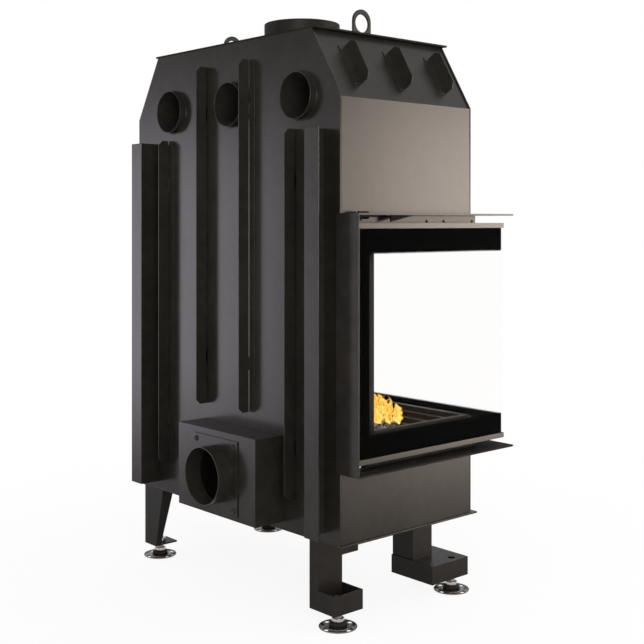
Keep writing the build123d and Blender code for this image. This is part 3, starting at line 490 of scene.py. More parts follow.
def charred_wood(name, glow):
    """Alligatored charcoal: black plates, pale ash on top, heat in the cracks."""
    r = Recipe(name)
    cracks = r.cells(88.0, "Distance", "DISTANCE_TO_EDGE", r.stretched(0.6, 1.2, 1.2))
    fine = r.noise(240.0, 5.0, 0.65)
    top = r.facing(2).ramp(-0.2, 0.7) * r.noise(46.0, 5.0, 0.6).ramp(0.40, 0.56)
    base = r.mix(fine, (0.008, 0.007, 0.006), (0.035, 0.031, 0.028))
    base = r.mix(top, base, (0.46, 0.43, 0.41))
    hot = (1 - cracks.ramp(0.0, 0.05)) * r.noise(16.0, 3.0, 0.5).ramp(0.52, 0.68)
    heat = r.mix(hot, (0, 0, 0), (1.0, 0.2, 0.03))
    return r.surface(
        base_color=base, roughness=fine * 0.2 + 0.7, specular_ior_level=0.05,
        emission_color=heat, emission_strength=glow,
        normal=r.bump(cracks.ramp(0.0, 0.12) + fine * 0.3, 0.004))


def live_ember(name, glow):
    """Embers: orange heart showing through a skin of white ash."""
    r = Recipe(name)
    skin = r.noise(120.0, 5.0, 0.65)
    ash = (r.facing(2) * 0.3 + skin).ramp(0.42, 0.62)
    heat = r.colours(
        skin, (0.3, (1.0, 0.45, 0.09)), (0.5, (1.0, 0.16, 0.015)), (0.72, (0.25, 0.02, 0.0)))
    base = r.mix(ash, (0.05, 0.03, 0.02), (0.62, 0.57, 0.52))
    return r.surface(
        base_color=base, roughness=skin * 0.1 + 0.85, specular_ior_level=0.05,
        emission_color=r.mix(ash, heat, (0.06, 0.02, 0.01)), emission_strength=glow,
        normal=r.bump(skin, 0.002))


def flame_gas(name, strength):
    """Flame: bright yellow low down, orange above, torn soft at its border and tip."""
    r = Recipe(name)
    split = r.add("ShaderNodeAttribute", {"attribute_name": "tongue"}, output="Vector")
    border, height, seed = r.axes(split)
    torn = r.noise(75.0, 4.0, 0.6, r.stretched(1, 1, 0.6), 1.6)
    veins = r.noise(120.0, 3.0, 0.55, r.stretched(1, 1, 0.5), 2.4).ramp(0.42, 0.66)
    body = (1 - border.ramp(0.25, 1.0)) * height.ramp(0.0, 0.10) * (1 - height.ramp(0.6, 1.0))
    alpha = (body * 1.25 + torn * 1.7 - 1.12).ramp(0.0, 0.32)
    hue = height * 0.3 + border * 0.45 + veins * 0.5 + (seed * 0.1 - 0.12)
    colour = r.colours(
        hue, (0.10, (1.0, 0.74, 0.20)), (0.45, (1.0, 0.56, 0.08)), (0.75, (0.62, 0.24, 0.02)),
        (1.0, (0.28, 0.07, 0.006)))
    return r.surface(
        base_color=(0.0, 0.0, 0.0), roughness=1.0, specular_ior_level=0.0, emission_color=colour,
        emission_strength=strength, alpha=alpha)


def studio_floor(name, colour):
    """Pale floor that keeps the shadow near the object and meets a white backdrop far off."""
    r = Recipe(name)
    x, y, _ = r.axes()
    away = (x * x + y * y) ** 0.5
    seen = r.add("ShaderNodeLightPath", output="Is Camera Ray")
    shine = r.add("ShaderNodeLightPath", output="Is Glossy Ray")
    through = r.add("ShaderNodeLightPath", output="Is Transmission Ray")
    white = seen.most(shine).most(through) * away.ramp(0.3, 1.8, 0.9, 1.0)
    lit = r.principled(base_color=colour, roughness=0.85 + r.noise(40.0) * 0.08)
    pure = r.add("ShaderNodeEmission", None, {0: (1, 1, 1), 1: 1.0})
    return r.finish(r.add("ShaderNodeMixShader", None, {0: white, 1: lit, 2: pure}))


# Shapes


def ring(centre, first, second, radius, count):
    """Points round a centre; radius is a number or a function of the angle."""
    points = []
    for step in range(count):
        angle = TURN * step / count
        reach = radius(angle) if callable(radius) else radius
        points.append(
            centre + first * (reach * math.cos(angle)) + second * (reach * math.sin(angle)))
    return points


def level_rings(centre, profile, count):
    """Level rings round a foot's middle: profile holds (radius, height)."""
    return [
        ring(centre + UP * height, SIDEWAYS, BACKWARDS, radius, count)
        for radius, height in profile]


def hexagon(across_flats, limit):
    """Radius of a hexagon whose corners are turned off at a limit."""
    def reach(angle):
        part = (angle % (TURN / 6)) - TURN / 12
        return min(across_flats / 2 / math.cos(part), limit)
    return reach


class Form:
    """Points and faces of one piece, gathered part by part."""

    def __init__(self):
        self.points, self.faces, self.fills, self.fill = [], [], [], 0

    def add(self, points, faces):
        start = len(self.points)
        self.points += points
        self.faces += [[start + corner for corner in face] for face in faces]
        self.fills += [self.fill] * len(faces)

    def skin(self, rings, loop=False):
        """A closed skin through rings of points."""
        count, rows = len(rings[0]), len(rings)
        faces = []
        for row in range(rows if loop else rows - 1):
            low, high = row * count, ((row + 1) % rows) * count
            for step in range(count):
                after = (step + 1) % count
                faces.append((low + step, low + after, high + after, high + step))
        if not loop:
            faces.append(tuple(reversed(range(count))))
            faces.append(tuple(range((rows - 1) * count, rows * count)))
        self.add([point for row in rings for point in row], faces)

    def plate(self, outline, depth):
        """A flat plate: an outline and the same outline moved by the plate's depth."""
        count = len(outline)
        faces = [tuple(reversed(range(count))), tuple(range(count, 2 * count))]
        faces += [(k, (k + 1) % count, count + (k + 1) % count, count + k) for k in range(count)]
        self.add(list(outline) + [point + depth for point in outline], faces)

    def turned(self, centre, axis, profile, count=48):
        """A turned part: profile holds (radius, height along the axis)."""
        first = axis.orthogonal().normalized()
        second = axis.cross(first)
        self.skin([
            ring(centre + axis * height, first, second, radius, count)
            for radius, height in profile])

    def tube(self, path, radius, count, loop=False):
        """A tube along a path; radius is a number or a function of the step and the angle."""
        rings = []
        for step, (place, first, second) in enumerate(carried(path, loop)):
            reach = (lambda angle, at=step: radius(at, angle)) if callable(radius) else radius
            rings.append(ring(place, first, second, reach, count))
        self.skin(rings, loop)

    def bead(self, path, radius, loop=False):
        """A weld bead with its row of overlapping scallops."""
        shift = random.Random(len(path)).random() * TURN

        def scallop(step, angle):
            ripple = 0.17 * abs(math.sin(step * 1.05 + shift)) + 0.05 * math.sin(step * 0.31)
            return radius * (0.86 + ripple)

        self.tube(path, scallop, 8, loop)

    def done(self, name, body, slot, *finishes, smooth=True):
        """The finished piece, riding on its body, with its finishes in the order of fill."""
        mesh = bpy.data.meshes.new(name)
        mesh.from_pydata([tuple(point) for point in self.points], [], self.faces)
        for finish in finishes:
            mesh.materials.append(finish)
        mesh.polygons.foreach_set("material_index", self.fills)
        mesh.polygons.foreach_set("use_smooth", [smooth] * len(mesh.polygons))
        mesh.validate()
        piece = bpy.data.objects.new(name, mesh)
        bpy.context.scene.collection.objects.link(piece)
        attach(piece, body)
        return piece


def carried(path, loop=False):
    """Each point of a path with two side directions that turn as little as possible."""
    count, side, out = len(path), None, []
    for step in range(count):
        before = path[step - 1] if loop or step else path[0]
        after = path[(step + 1) % count] if loop or step < count - 1 else path[-1]
        along = (after - before).normalized()
        side = along.orthogonal() if side is None else side - along * side.dot(along)
        side.normalize()
        out.append((path[step], side.copy(), along.cross(side)))
    return out


def line(start, end, step):
    """Points from start to end, about a step apart."""
    count = max(2, round((end - start).length / step))
    return [start.lerp(end, index / count) for index in range(count + 1)]


def rounded(corners, radius, step):
    """A path through corners with each inner corner turned at a radius."""
    path = [corners[0]]
    for before, corner, after in zip(corners, corners[1:], corners[2:]):
        come, go = (before - corner).normalized(), (after - corner).normalized()
        path += line(path[-1], corner + come * radius, step)[1:]
        centre = corner + (come + go) * radius
        for index in range(1, 7):
            angle = index / 6 * math.pi / 2
            path.append(centre - go * radius * math.cos(angle) - come * radius * math.sin(angle))
    return path + line(path[-1], corners[-1], step)[1:]


def round_edges(node, width):
    """Rounds the cut edges of a CAD node without touching its mesh data."""
    weld = node.modifiers.new("weld", "WELD")
    weld.merge_threshold = 0.00001
    flat = node.modifiers.new("flat", "DECIMATE")
    flat.decimate_type, flat.angle_limit = "DISSOLVE", math.radians(0.5)
    soften(node, width)


def soften(piece, width, crisp=False):
    """Rounds a piece's sharp edges and, unless it stays crisp, shades it smooth between them."""
    bevel = piece.modifiers.new("edges", "BEVEL")
    bevel.width, bevel.segments, bevel.limit_method = width, 2, "ANGLE"
    bevel.angle_limit = math.radians(35)
    bevel.miter_outer = "MITER_ARC"
    if crisp:
        return
    piece.data.polygons.foreach_set("use_smooth", [True] * len(piece.data.polygons))
    shade = piece.modifiers.new("shade", "WEIGHTED_NORMAL")
    shade.weight, shade.keep_sharp = 60, False


def keep_out(*pieces):
    """Keeps glass and bright metal out of the strong lamps, which are meant for black paint."""
    shaded = bpy.data.collections[SHADED]
    for piece in pieces:
        shaded.objects.link(piece)
    for member in shaded.collection_objects:
        member.light_linking.link_state = "EXCLUDE"


# Operators


class StageOperator(bpy.types.Operator):
    """Make the floor, the white surroundings, the lamps and the camera."""

    bl_idname = "insert.stage"
    bl_label = "Studio"

    def execute(self, context):
        scene, settings = context.scene, context.scene.insert_stage
        scene.view_settings.view_transform = "Standard"
        bpy.data.collections.new(SHADED)
        self.ground(scene, settings)
        self.air(scene, settings)
        # Name, place, direction, size, share that fades, radiance, tint, kind of ray
        for lamp in (
            ("key_lamp", (-2.5, -3.0, 0.68), (1, 0, 0), (4.0, 2.9), (0.75, 0.75),
             settings.key, (1.0, 0.853, 0.744), "glossy"),
            ("back_lamp", (3.61, 2.5, 0.50), (0, -1, 0), (3.2, 2.72), (0.75, 0.64),
             settings.back, (0.94, 0.89, 1.0), "glossy"),
            ("post_lamp", (1.7, 2.5, 0.3), (0, -1, 0), (1.2, 3.0), (0.6, 0.6),
             settings.post, (0.96, 0.9, 0.95), "glossy"),
            ("edge_lamp", (-2.7, 2.9, 0.9), (0.66, -0.75, -0.05), (1.8, 2.8), (0.75, 0.6),
             settings.rim, (1.0, 0.9, 0.82), "glossy"),
            ("fill_lamp", (-3.0, 1.9, 1.6), (0.8, -0.6, -0.25), (2.4, 2.4), (0.75, 0.75),
             settings.side, (1.0, 0.95, 0.9), "diffuse"),
            ("top_lamp", (-1.5, -2.1, 3.3), (0.45, 0.65, -0.8), (2.4, 2.4), (0.75, 0.75),
             settings.top, (1.0, 1.0, 1.0), "both"),
        ):
            self.lamp(scene, *lamp)
        self.camera(scene, settings)
        return {"FINISHED"}

    def ground(self, scene, settings):
        """A pale disc far wider than the object; it isn't mirrored in the paint."""
        reach, count = 14.0, 96
        floor = bpy.data.meshes.new("studio_floor")
        rim = ring(Vector((0, 0, 0)), SIDEWAYS, BACKWARDS, reach, count)
        floor.from_pydata([tuple(point) for point in rim], [], [range(count)])
        floor.materials.append(studio_floor("studio_floor", tuple(settings.floor)))
        ground = bpy.data.objects.new("studio_floor", floor)
        scene.collection.objects.link(ground)
        ground.visible_glossy = False

    def air(self, scene, settings):
        """White surroundings for camera, mirror and glass rays, a weaker light for the rest."""
        world = bpy.data.worlds.new("studio_air")
        scene.world = world
        world.use_nodes = True
        air = Recipe.within(world.node_tree)
        seen = air.add("ShaderNodeLightPath", output="Is Camera Ray")
        for other in ("Is Glossy Ray", "Is Transmission Ray"):
            seen = seen.most(air.add("ShaderNodeLightPath", output=other))
        light = air.add("ShaderNodeBackground", None, {
            0: (1, 1, 1), 1: seen.ramp(0, 1, settings.fill, 1)})
        air.tree.links.new(light.socket, air.tree.nodes["World Output"].inputs[0])

    def lamp(self, scene, name, place, way, size, fade, radiance, tint, seen_by):
        """An area lamp that fades towards its border and lights one or both kinds of ray."""
        lamp = bpy.data.lights.new(name, "AREA")
        lamp.shape, lamp.size, lamp.size_y = "RECTANGLE", *size
        lamp.energy = radiance * math.pi * size[0] * size[1]
        lamp.color = tint
        lamp.use_nodes = True
        box = Recipe.within(lamp.node_tree)
        u, v, _ = box.axes(box.add("ShaderNodeNewGeometry", output="Parametric"))
        soft = (1 - abs(u * 2 - 1)).ramp(0, fade[0]) * (1 - abs(v * 2 - 1)).ramp(0, fade[1])
        box.tree.links.new(soft.socket, box.tree.nodes["Emission"].inputs["Strength"])
        holder = bpy.data.objects.new(name, lamp)
        holder.location = place
        holder.rotation_euler = Vector(way).to_track_quat("-Z", "Y").to_euler()
        holder.visible_camera = holder.visible_transmission = False
        holder.visible_diffuse = seen_by != "glossy"
        holder.visible_glossy = seen_by != "diffuse"
        if seen_by == "glossy":
            holder.light_linking.receiver_collection = bpy.data.collections[SHADED]
        scene.collection.objects.link(holder)

    def camera(self, scene, settings):
        """The photograph's viewpoint: the camera is level and its frame is shifted."""
        camera = bpy.data.cameras.new("photo_camera")
        camera.sensor_width = 36
        camera.lens = camera.sensor_width * settings.focal
        camera.shift_y = settings.rise
        camera.clip_end = 60
        holder = bpy.data.objects.new("photo_camera", camera)
        holder.location = (
            X_LEFT - settings.eye_left, Y_BACK + settings.eye_back, settings.eye_height)
        holder.rotation_euler = (math.pi / 2, 0, settings.azimuth)
        scene.collection.objects.link(holder)
        scene.camera = holder


class FinishOperator(bpy.types.Operator):
    """Give every CAD node its finish and rounded edges."""

    bl_idname = "insert.finishes"
    bl_label = "Finishes"

    def execute(self, context):
        paint = context.scene.insert_paint
        casing, matt = tuple(paint.casing), tuple(paint.frame)
        sheen, shine = paint.sheen, paint.shine
        leg = tuple(c * 0.7 for c in casing)
        finishes = {
            "casing_paint": satin_paint("casing_paint", casing, sheen, shine),
            "fin_paint": satin_paint("fin_paint", casing, sheen, shine),
            "air_box_paint": satin_paint("air_box_paint", casing, sheen, shine, dust=0.06),
            "frame_paint": satin_paint("frame_paint", matt, sheen, shine * 0.75, dust=0.04),
            "door_paint": satin_paint("door_paint", casing, sheen, shine),
            "leg_paint": satin_paint("leg_paint", leg, sheen + 0.1, shine * 0.7),
            "door_glass": clear_glass("door_glass"),
            "rope_gasket": woven_rope("rope_gasket"),
            "hearth_steel": raw_steel(
                "hearth_steel", (0.05, 0.048, 0.046), (0.13, 0.12, 0.115), 0.45, 0.9, 0.5),
            "refractory": refractory_board("refractory"),
            "zinc": zinc_plate("zinc"),
            "handle_steel": raw_steel(
                "handle_steel", (0.42, 0.41, 0.40), (0.56, 0.55, 0.54), 0.22),
        }
        hood = satin_paint("hood_paint", casing, sheen + 0.2, shine * 1.25)
        own = {
            "hearth_floor": graphite_plate("hearth_graphite"),
            "hinge_bolts": moulded_black("bolt_black"),
            "hinge_brackets": satin_paint("bracket_black", (0.006, 0.0055, 0.005), 0.5, 0.01),
            "top_plate": satin_paint("plate_matt", casing, 0.5, 0.01),
            "flue_collar": satin_paint("collar_paint", casing, 0.5, shine * 0.5),
            "frame_bottom_ledge": satin_paint("ledge_matt", matt, 0.55, 0.008, dust=0.02),
            "left_hood_panel": hood, "right_hood_panel": hood,
            "hood_fins_left": hood, "hood_fins_right": hood,
        }
        folded = (
            "rear_rail_left", "rear_rail_right", "convection_tube_1", "convection_tube_2",
            "convection_tube_3", "air_inlet_spigot", "air_box")
        for part in frame["record"]["subparts"]:
            name, slot = part["node"], part["material_slot"]
            node = NODES[name]
            node.data.materials.clear()
            node.data.materials.append(own.get(name, finishes[slot]))
            width = paint.bend if name in folded else paint.edge
            round_edges(node, FINE_EDGE if slot == "door_glass" else width)
            if slot in ("zinc", "handle_steel"):
                keep_out(node)
        return {"FINISHED"}


class FinOperator(bpy.types.Operator):
    """Fold the four long fins: slit along the bend, held to their feet by two bridges."""

    bl_idname = "insert.fins"
    bl_label = "Back fins"

    def execute(self, context):
        cut = context.scene.insert_trim.slit
        sheet, lip, overlap, seam = 0.002, 0.0042, 0.001, 0.0003
        bridge, inset, chamfer, corner = 0.030, 0.092, 0.011, 0.004
        for index in (1, 2, 3, 4):
            low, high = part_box(f"back_fin_{index}")
            hidden = index % 2 == 1
            way = 1 if hidden else -1
            fold = low.x if hidden else high.x
            slit = lip - overlap if hidden else sheet + cut
            reach, length = high.y - low.y, high.z - low.z
            near, far = sheet + seam, high.x - low.x

            def at(across, out, height):
                return Vector((fold + way * across, low.y + out, height))

            bridges = (low.z + inset, low.z + length - inset - bridge)
            outline = [(low.z, slit)]
            for start in bridges:
                outline += [
                    (start, slit), (start, 0), (start + bridge, 0), (start + bridge, slit)]
            outline += [
                (high.z, slit), (high.z, reach - chamfer), (high.z - chamfer, reach),
                (low.z + chamfer, reach), (low.z, reach - chamfer)]
            form = Form()
            form.plate(
                [at(0, out, height) for height, out in outline], SIDEWAYS * (way * sheet))
            form.plate([
                at(near, 0, low.z), at(far - corner, 0, low.z), at(far, 0, low.z + corner),
                at(far, 0, high.z - corner), at(far - corner, 0, high.z),
                at(near, 0, high.z)], BACKWARDS * sheet)
            if hidden:
                form.plate([
                    at(near, sheet, low.z), at(near + sheet, sheet, low.z),
                    at(near + sheet, lip, low.z), at(near, lip, low.z)], UP * length)
            for start in bridges:
                form.plate([
                    at(0, 0, start), at(near + sheet, 0, start), at(near + sheet, lip, start),
                    at(0, lip, start)], UP * bridge)
            paint = NODES["back_panel"].data.materials[0]
            fin = form.done(f"folded_fin_{index}", "casing", "fin_paint", paint, smooth=False)
            soften(fin, FINE_EDGE)
            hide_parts(f"back_fin_{index}")
        return {"FINISHED"}


class PostOperator(bpy.types.Operator):
    """Fold the rear post of the frame: a flat web and an outer strip that is bent in a little."""

    bl_idname = "insert.post"
    bl_label = "Rear post"

    def execute(self, context):
        low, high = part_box("frame_rear_post")
        strip, bend, rounding = 0.030, math.radians(3), 0.0003
        outline = [
            Vector((x, y, low.z)) for x, y in (
                (high.x, low.y), (high.x, high.y), (low.x + strip, high.y),
                (low.x, high.y - strip * math.tan(bend)), (low.x, low.y))]
        form = Form()
        form.plate(outline, UP * (high.z - low.z))
        paint = NODES["frame_rear_post"].data.materials[0]
        post = form.done("folded_rear_post", "casing", "frame_paint", paint, smooth=False)
        soften(post, rounding, crisp=True)
        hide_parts("frame_rear_post")
        return {"FINISHED"}


class WeldOperator(bpy.types.Operator):
    """Lay weld beads round the flue collar and along the lifting eyes."""

    bl_idname = "insert.welds"
    bl_label = "Weld beads"

    def execute(self, context):
        size = context.scene.insert_trim.bead
        step, eye, shy = size * 0.75, 0.005, 0.002
        form = Form()
        low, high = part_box("flue_collar")
        centre, radius = (low + high) / 2, (high.x - low.x) / 2
        centre.z = low.z
        count = round(TURN * radius / step)
        form.bead(ring(centre, SIDEWAYS, BACKWARDS, radius, count), size, loop=True)
        low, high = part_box("lifting_eyes")
        for x in (low.x, low.x + eye, high.x - eye, high.x):
            ends = (Vector((x, low.y + shy, low.z)), Vector((x, high.y - shy, low.z)))
            form.bead(line(*ends, step), size)
        colour = tuple(context.scene.insert_paint.casing)
        form.done("weld_beads", "casing", "casing_paint", weld_metal("weld_metal", colour))
        return {"FINISHED"}


class PrintOperator(bpy.types.Operator):
    """Fire the black print on the inner faces of the two panes."""

    bl_idname = "insert.glass_print"
    bl_label = "Glass print"

    def execute(self, context):
        trim = context.scene.insert_trim
        side_low, side_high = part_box("side_glass")
        front_low, front_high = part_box("front_glass")
        border, film, lift, fade = 0.035, 0.00026, -0.0002, PRINT_FADE
        top, bottom = trim.print_top, trim.print_bottom
        rear, right = Y_BACK - trim.print_rear, front_high.x - border
        enamel = glass_print("glass_print", top, bottom, rear, right)
        form = Form()

        def side(u, z, out):
            return Vector((side_high.x + lift + out, u, z))

        def front(u, z, out):
            return Vector((u, front_high.y + lift + out, z))

        for plane, low_u, high_u, low_z, high_z in (
            (side, side_low.y, side_high.y, top - fade, side_high.z),
            (side, side_low.y, side_high.y, side_low.z, bottom + fade),
            (side, rear - fade, side_high.y, bottom + fade, top - fade),
            (front, front_low.x, front_high.x, top - fade, front_high.z),
            (front, front_low.x, front_high.x, front_low.z, bottom + fade),
            (front, right - fade, front_high.x, bottom + fade, top - fade),
        ):
            points = [plane(u, z, out) for out in (0, film) for u, z in (
                (low_u, low_z), (high_u, low_z), (high_u, high_z), (low_u, high_z))]
            form.add(points, [
                (0, 1, 2, 3), (7, 6, 5, 4), (0, 4, 5, 1), (1, 5, 6, 2), (2, 6, 7, 3),
                (3, 7, 4, 0)])
        enamelled = form.done("glass_print", "door", "door_glass", enamel, smooth=False)
        keep_out(NODES["side_glass"], NODES["front_glass"], enamelled)
        return {"FINISHED"}


class RopeOperator(bpy.types.Operator):
    """Lay the braided rope seal round the door's inner face."""

    bl_idname = "insert.rope"
    bl_label = "Rope seal"

    def execute(self, context):
        low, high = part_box("door_gasket")
        half, bend, end, overlap = 0.00485, 0.012, 0.15, 0.001
        x, y = low.x + half, low.y + half
        right, rear = high.x - half, high.y - half
        bottom, top = low.z + half, high.z - half
        corners = [
            Vector(point) for point in (
                (x, rear - end, bottom), (x, y, bottom), (right, y, bottom), (right, y, top),
                (x, y, top), (x, rear, top), (x, rear, bottom),
                (x, rear - end + overlap, bottom))]
        step = 0.0012
        path = rounded(corners, bend, step)
        pitch = context.scene.insert_trim.braid / step * 0.5

        def braid(at, angle):
            twist = math.pi * at / pitch
            lift = abs(math.sin(4 * angle + twist)) * abs(math.sin(4 * angle - twist))
            return half * (0.84 + 0.15 * lift ** 0.6)

        form = Form()
        form.tube(path, braid, 24)
        finish = NODES["door_gasket"].data.materials[0]
        rope = form.done("door_rope_seal", "door", "rope_gasket", finish)
        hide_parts("door_gasket")
        return {"FINISHED"}


class FeetOperator(bpy.types.Operator):
    """Build the four levelling feet with threads, bosses and drilled discs."""

    bl_idname = "insert.feet"
    bl_label = "Levelling feet"

    def execute(self, context):
        pitch = context.scene.insert_trim.thread
        finishes = (
            zinc_plate("foot_disc_chrome", (0.24, 0.22, 0.21), 0.42),
            moulded_black("foot_boss_black"),
            zinc_plate("foot_stud_zinc", (0.66, 0.6, 0.57), 0.42))
        for corner in ("front_left", "front_right", "back_left", "back_right"):
            low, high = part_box(f"foot_{corner}")
            centre = Vector(((low.x + high.x) / 2, (low.y + high.y) / 2, low.z))
            form = Form()
            self.disc(form, centre, (high.x - low.x) / 2)
            # The boss in (radius, height), then the hexagon in (width over corners, height)
            form.fill = 1
            form.turned(centre, UP, (
                (0.0182, 0.0022), (0.0182, 0.0090), (0.0176, 0.0104), (0.0164, 0.0114),
                (0.0140, 0.0119), (0.0100, 0.0120)))
            form.fill = 2
            form.skin(level_rings(centre, [
                (hexagon(0.024, width / 2), height) for width, height in (
                    (0.0228, 0.0119), (0.0262, 0.0128), (0.0277, 0.0136), (0.0277, 0.0184),
                    (0.0262, 0.0192), (0.0228, 0.0200))], 72))
            self.stud(form, centre, high.z, pitch)
            body = f"foot_{corner}_body"
            foot = form.done(f"levelling_foot_{corner}", body, "zinc", *finishes)
            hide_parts(f"foot_{corner}")
            keep_out(foot)
        return {"FINISHED"}

    def stud(self, form, centre, top, pitch):
        """The threaded stud: each level's ring is cut by the thread at its own phase."""
        radius, depth, start, taper = 0.0079, 0.0011, 0.0199, 0.0012
        rows = round((top - start) / (pitch / 6))
        rings = []
        for row in range(rows + 1):
            height = start + (top - start) * row / rows
            full = 0.86 + 0.14 * min(1.0, (top - height) / taper + 0.55)

            def cut(angle, height=height, full=full):
                phase = (height / pitch - angle / TURN) % 1.0
                return (radius - depth * (1 - abs(2 * phase - 1))) * full

            rings.append((cut, height))
        form.skin(level_rings(centre, rings, 24))

    def disc(self, form, centre, radius):
        """The pressed disc: rolled rim, shallow dish and four holes through it."""
        holes, hole, circle, count = 4, 0.0050, 0.033, 96
        dish = (
            (0.017, 0.0), (0.017, 0.0028), (0.024, 0.0024), (0.0275, 0.0021), (0.0275, 0.0))
        rim = (
            (0.0385, 0.0), (0.0385, 0.0021), (radius - 0.0006, 0.0028), (radius, 0.0020),
            (radius - 0.0008, 0.0))
        for profile in (dish, rim):
            form.skin(level_rings(centre, profile, count), loop=True)
        for index in range(holes):
            self.segment(form, centre, TURN * index / holes, holes, hole, circle)

    def segment(self, form, centre, start, holes, hole, circle):
        """One quarter of the band between the dish and the rim, with its hole."""
        steps, half, band, levels = 24, TURN / holes / 2, 0.0055, (0.0002, 0.0012)
        middle = Vector((math.cos(start), math.sin(start), 0))
        cross = Vector((-middle.y, middle.x, 0))
        inner, outer = ring(middle * circle, middle, cross, hole, steps), []
        for step in range(steps):
            angle = TURN * step / steps
            reach = Vector((math.cos(angle), math.sin(angle)))
            scale = 1 / max(abs(reach.x), abs(reach.y))
            turn = start + half * reach.y * scale
            way = Vector((math.cos(turn), math.sin(turn), 0))
            outer.append(way * (circle + band * reach.x * scale))
        points = [centre + point + UP * level for level in levels for point in inner + outer]
        faces, base = [], 2 * steps
        for step in range(steps):
            after = (step + 1) % steps
            faces += [
                (step, steps + step, steps + after, after),
                (base + after, base + steps + after, base + steps + step, base + step),
                (step, after, base + after, base + step),
                (steps + after, steps + step, base + steps + step, base + steps + after)]
        form.add(points, faces)


class FastenerOperator(bpy.types.Operator):
    """Build the flanged screws of the air inlet and of the seal strip."""

    bl_idname = "insert.fasteners"
    bl_label = "Screws"

    def execute(self, context):
        form = Form()
        low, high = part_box("air_inlet_spigot")
        centre = (low + high) / 2
        flange, spread = 0.003, 0.068
        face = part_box("air_box")[1].y + flange
        for x in (-spread, spread):
            for z in (-spread, spread):
                place = Vector((centre.x + x, face, centre.z + z))
                self.screw(form, place, BACKWARDS, 0.0068, 0.003)
        head, drop = 0.002, 0.0125
        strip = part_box("panel_screws")[0].x + head
        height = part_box("seal_frame")[1].z - drop
        for distance in (0.243, 0.297, 0.390):  # from the back
            place = Vector((strip, Y_BACK - distance, height))
            self.screw(form, place, -SIDEWAYS, 0.0029, head)
        screws = form.done("panel_screw_heads", "casing", "zinc", moulded_black("screw_black"))
        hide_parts("panel_screws")
        return {"FINISHED"}

    def screw(self, form, place, axis, radius, height):
        """A flanged hexagon head with a dished top, and its shank behind the face."""
        first = axis.orthogonal().normalized()
        second = axis.cross(first)
        form.turned(place, axis, (
            (radius * 0.55, -0.004), (radius * 0.55, 0.0), (radius, 0.00002),
            (radius, height * 0.16), (radius * 0.8, height * 0.3)), 36)
        flats = radius * 1.36
        form.skin([
            ring(place + axis * height * share, first, second, reach, 36)
            for share, reach in (
                (0.2, hexagon(flats, flats * 0.6)), (0.85, hexagon(flats, flats * 0.6)),
                (1.0, hexagon(flats, flats * 0.51)), (0.98, flats * 0.36),
                (0.72, flats * 0.30))])


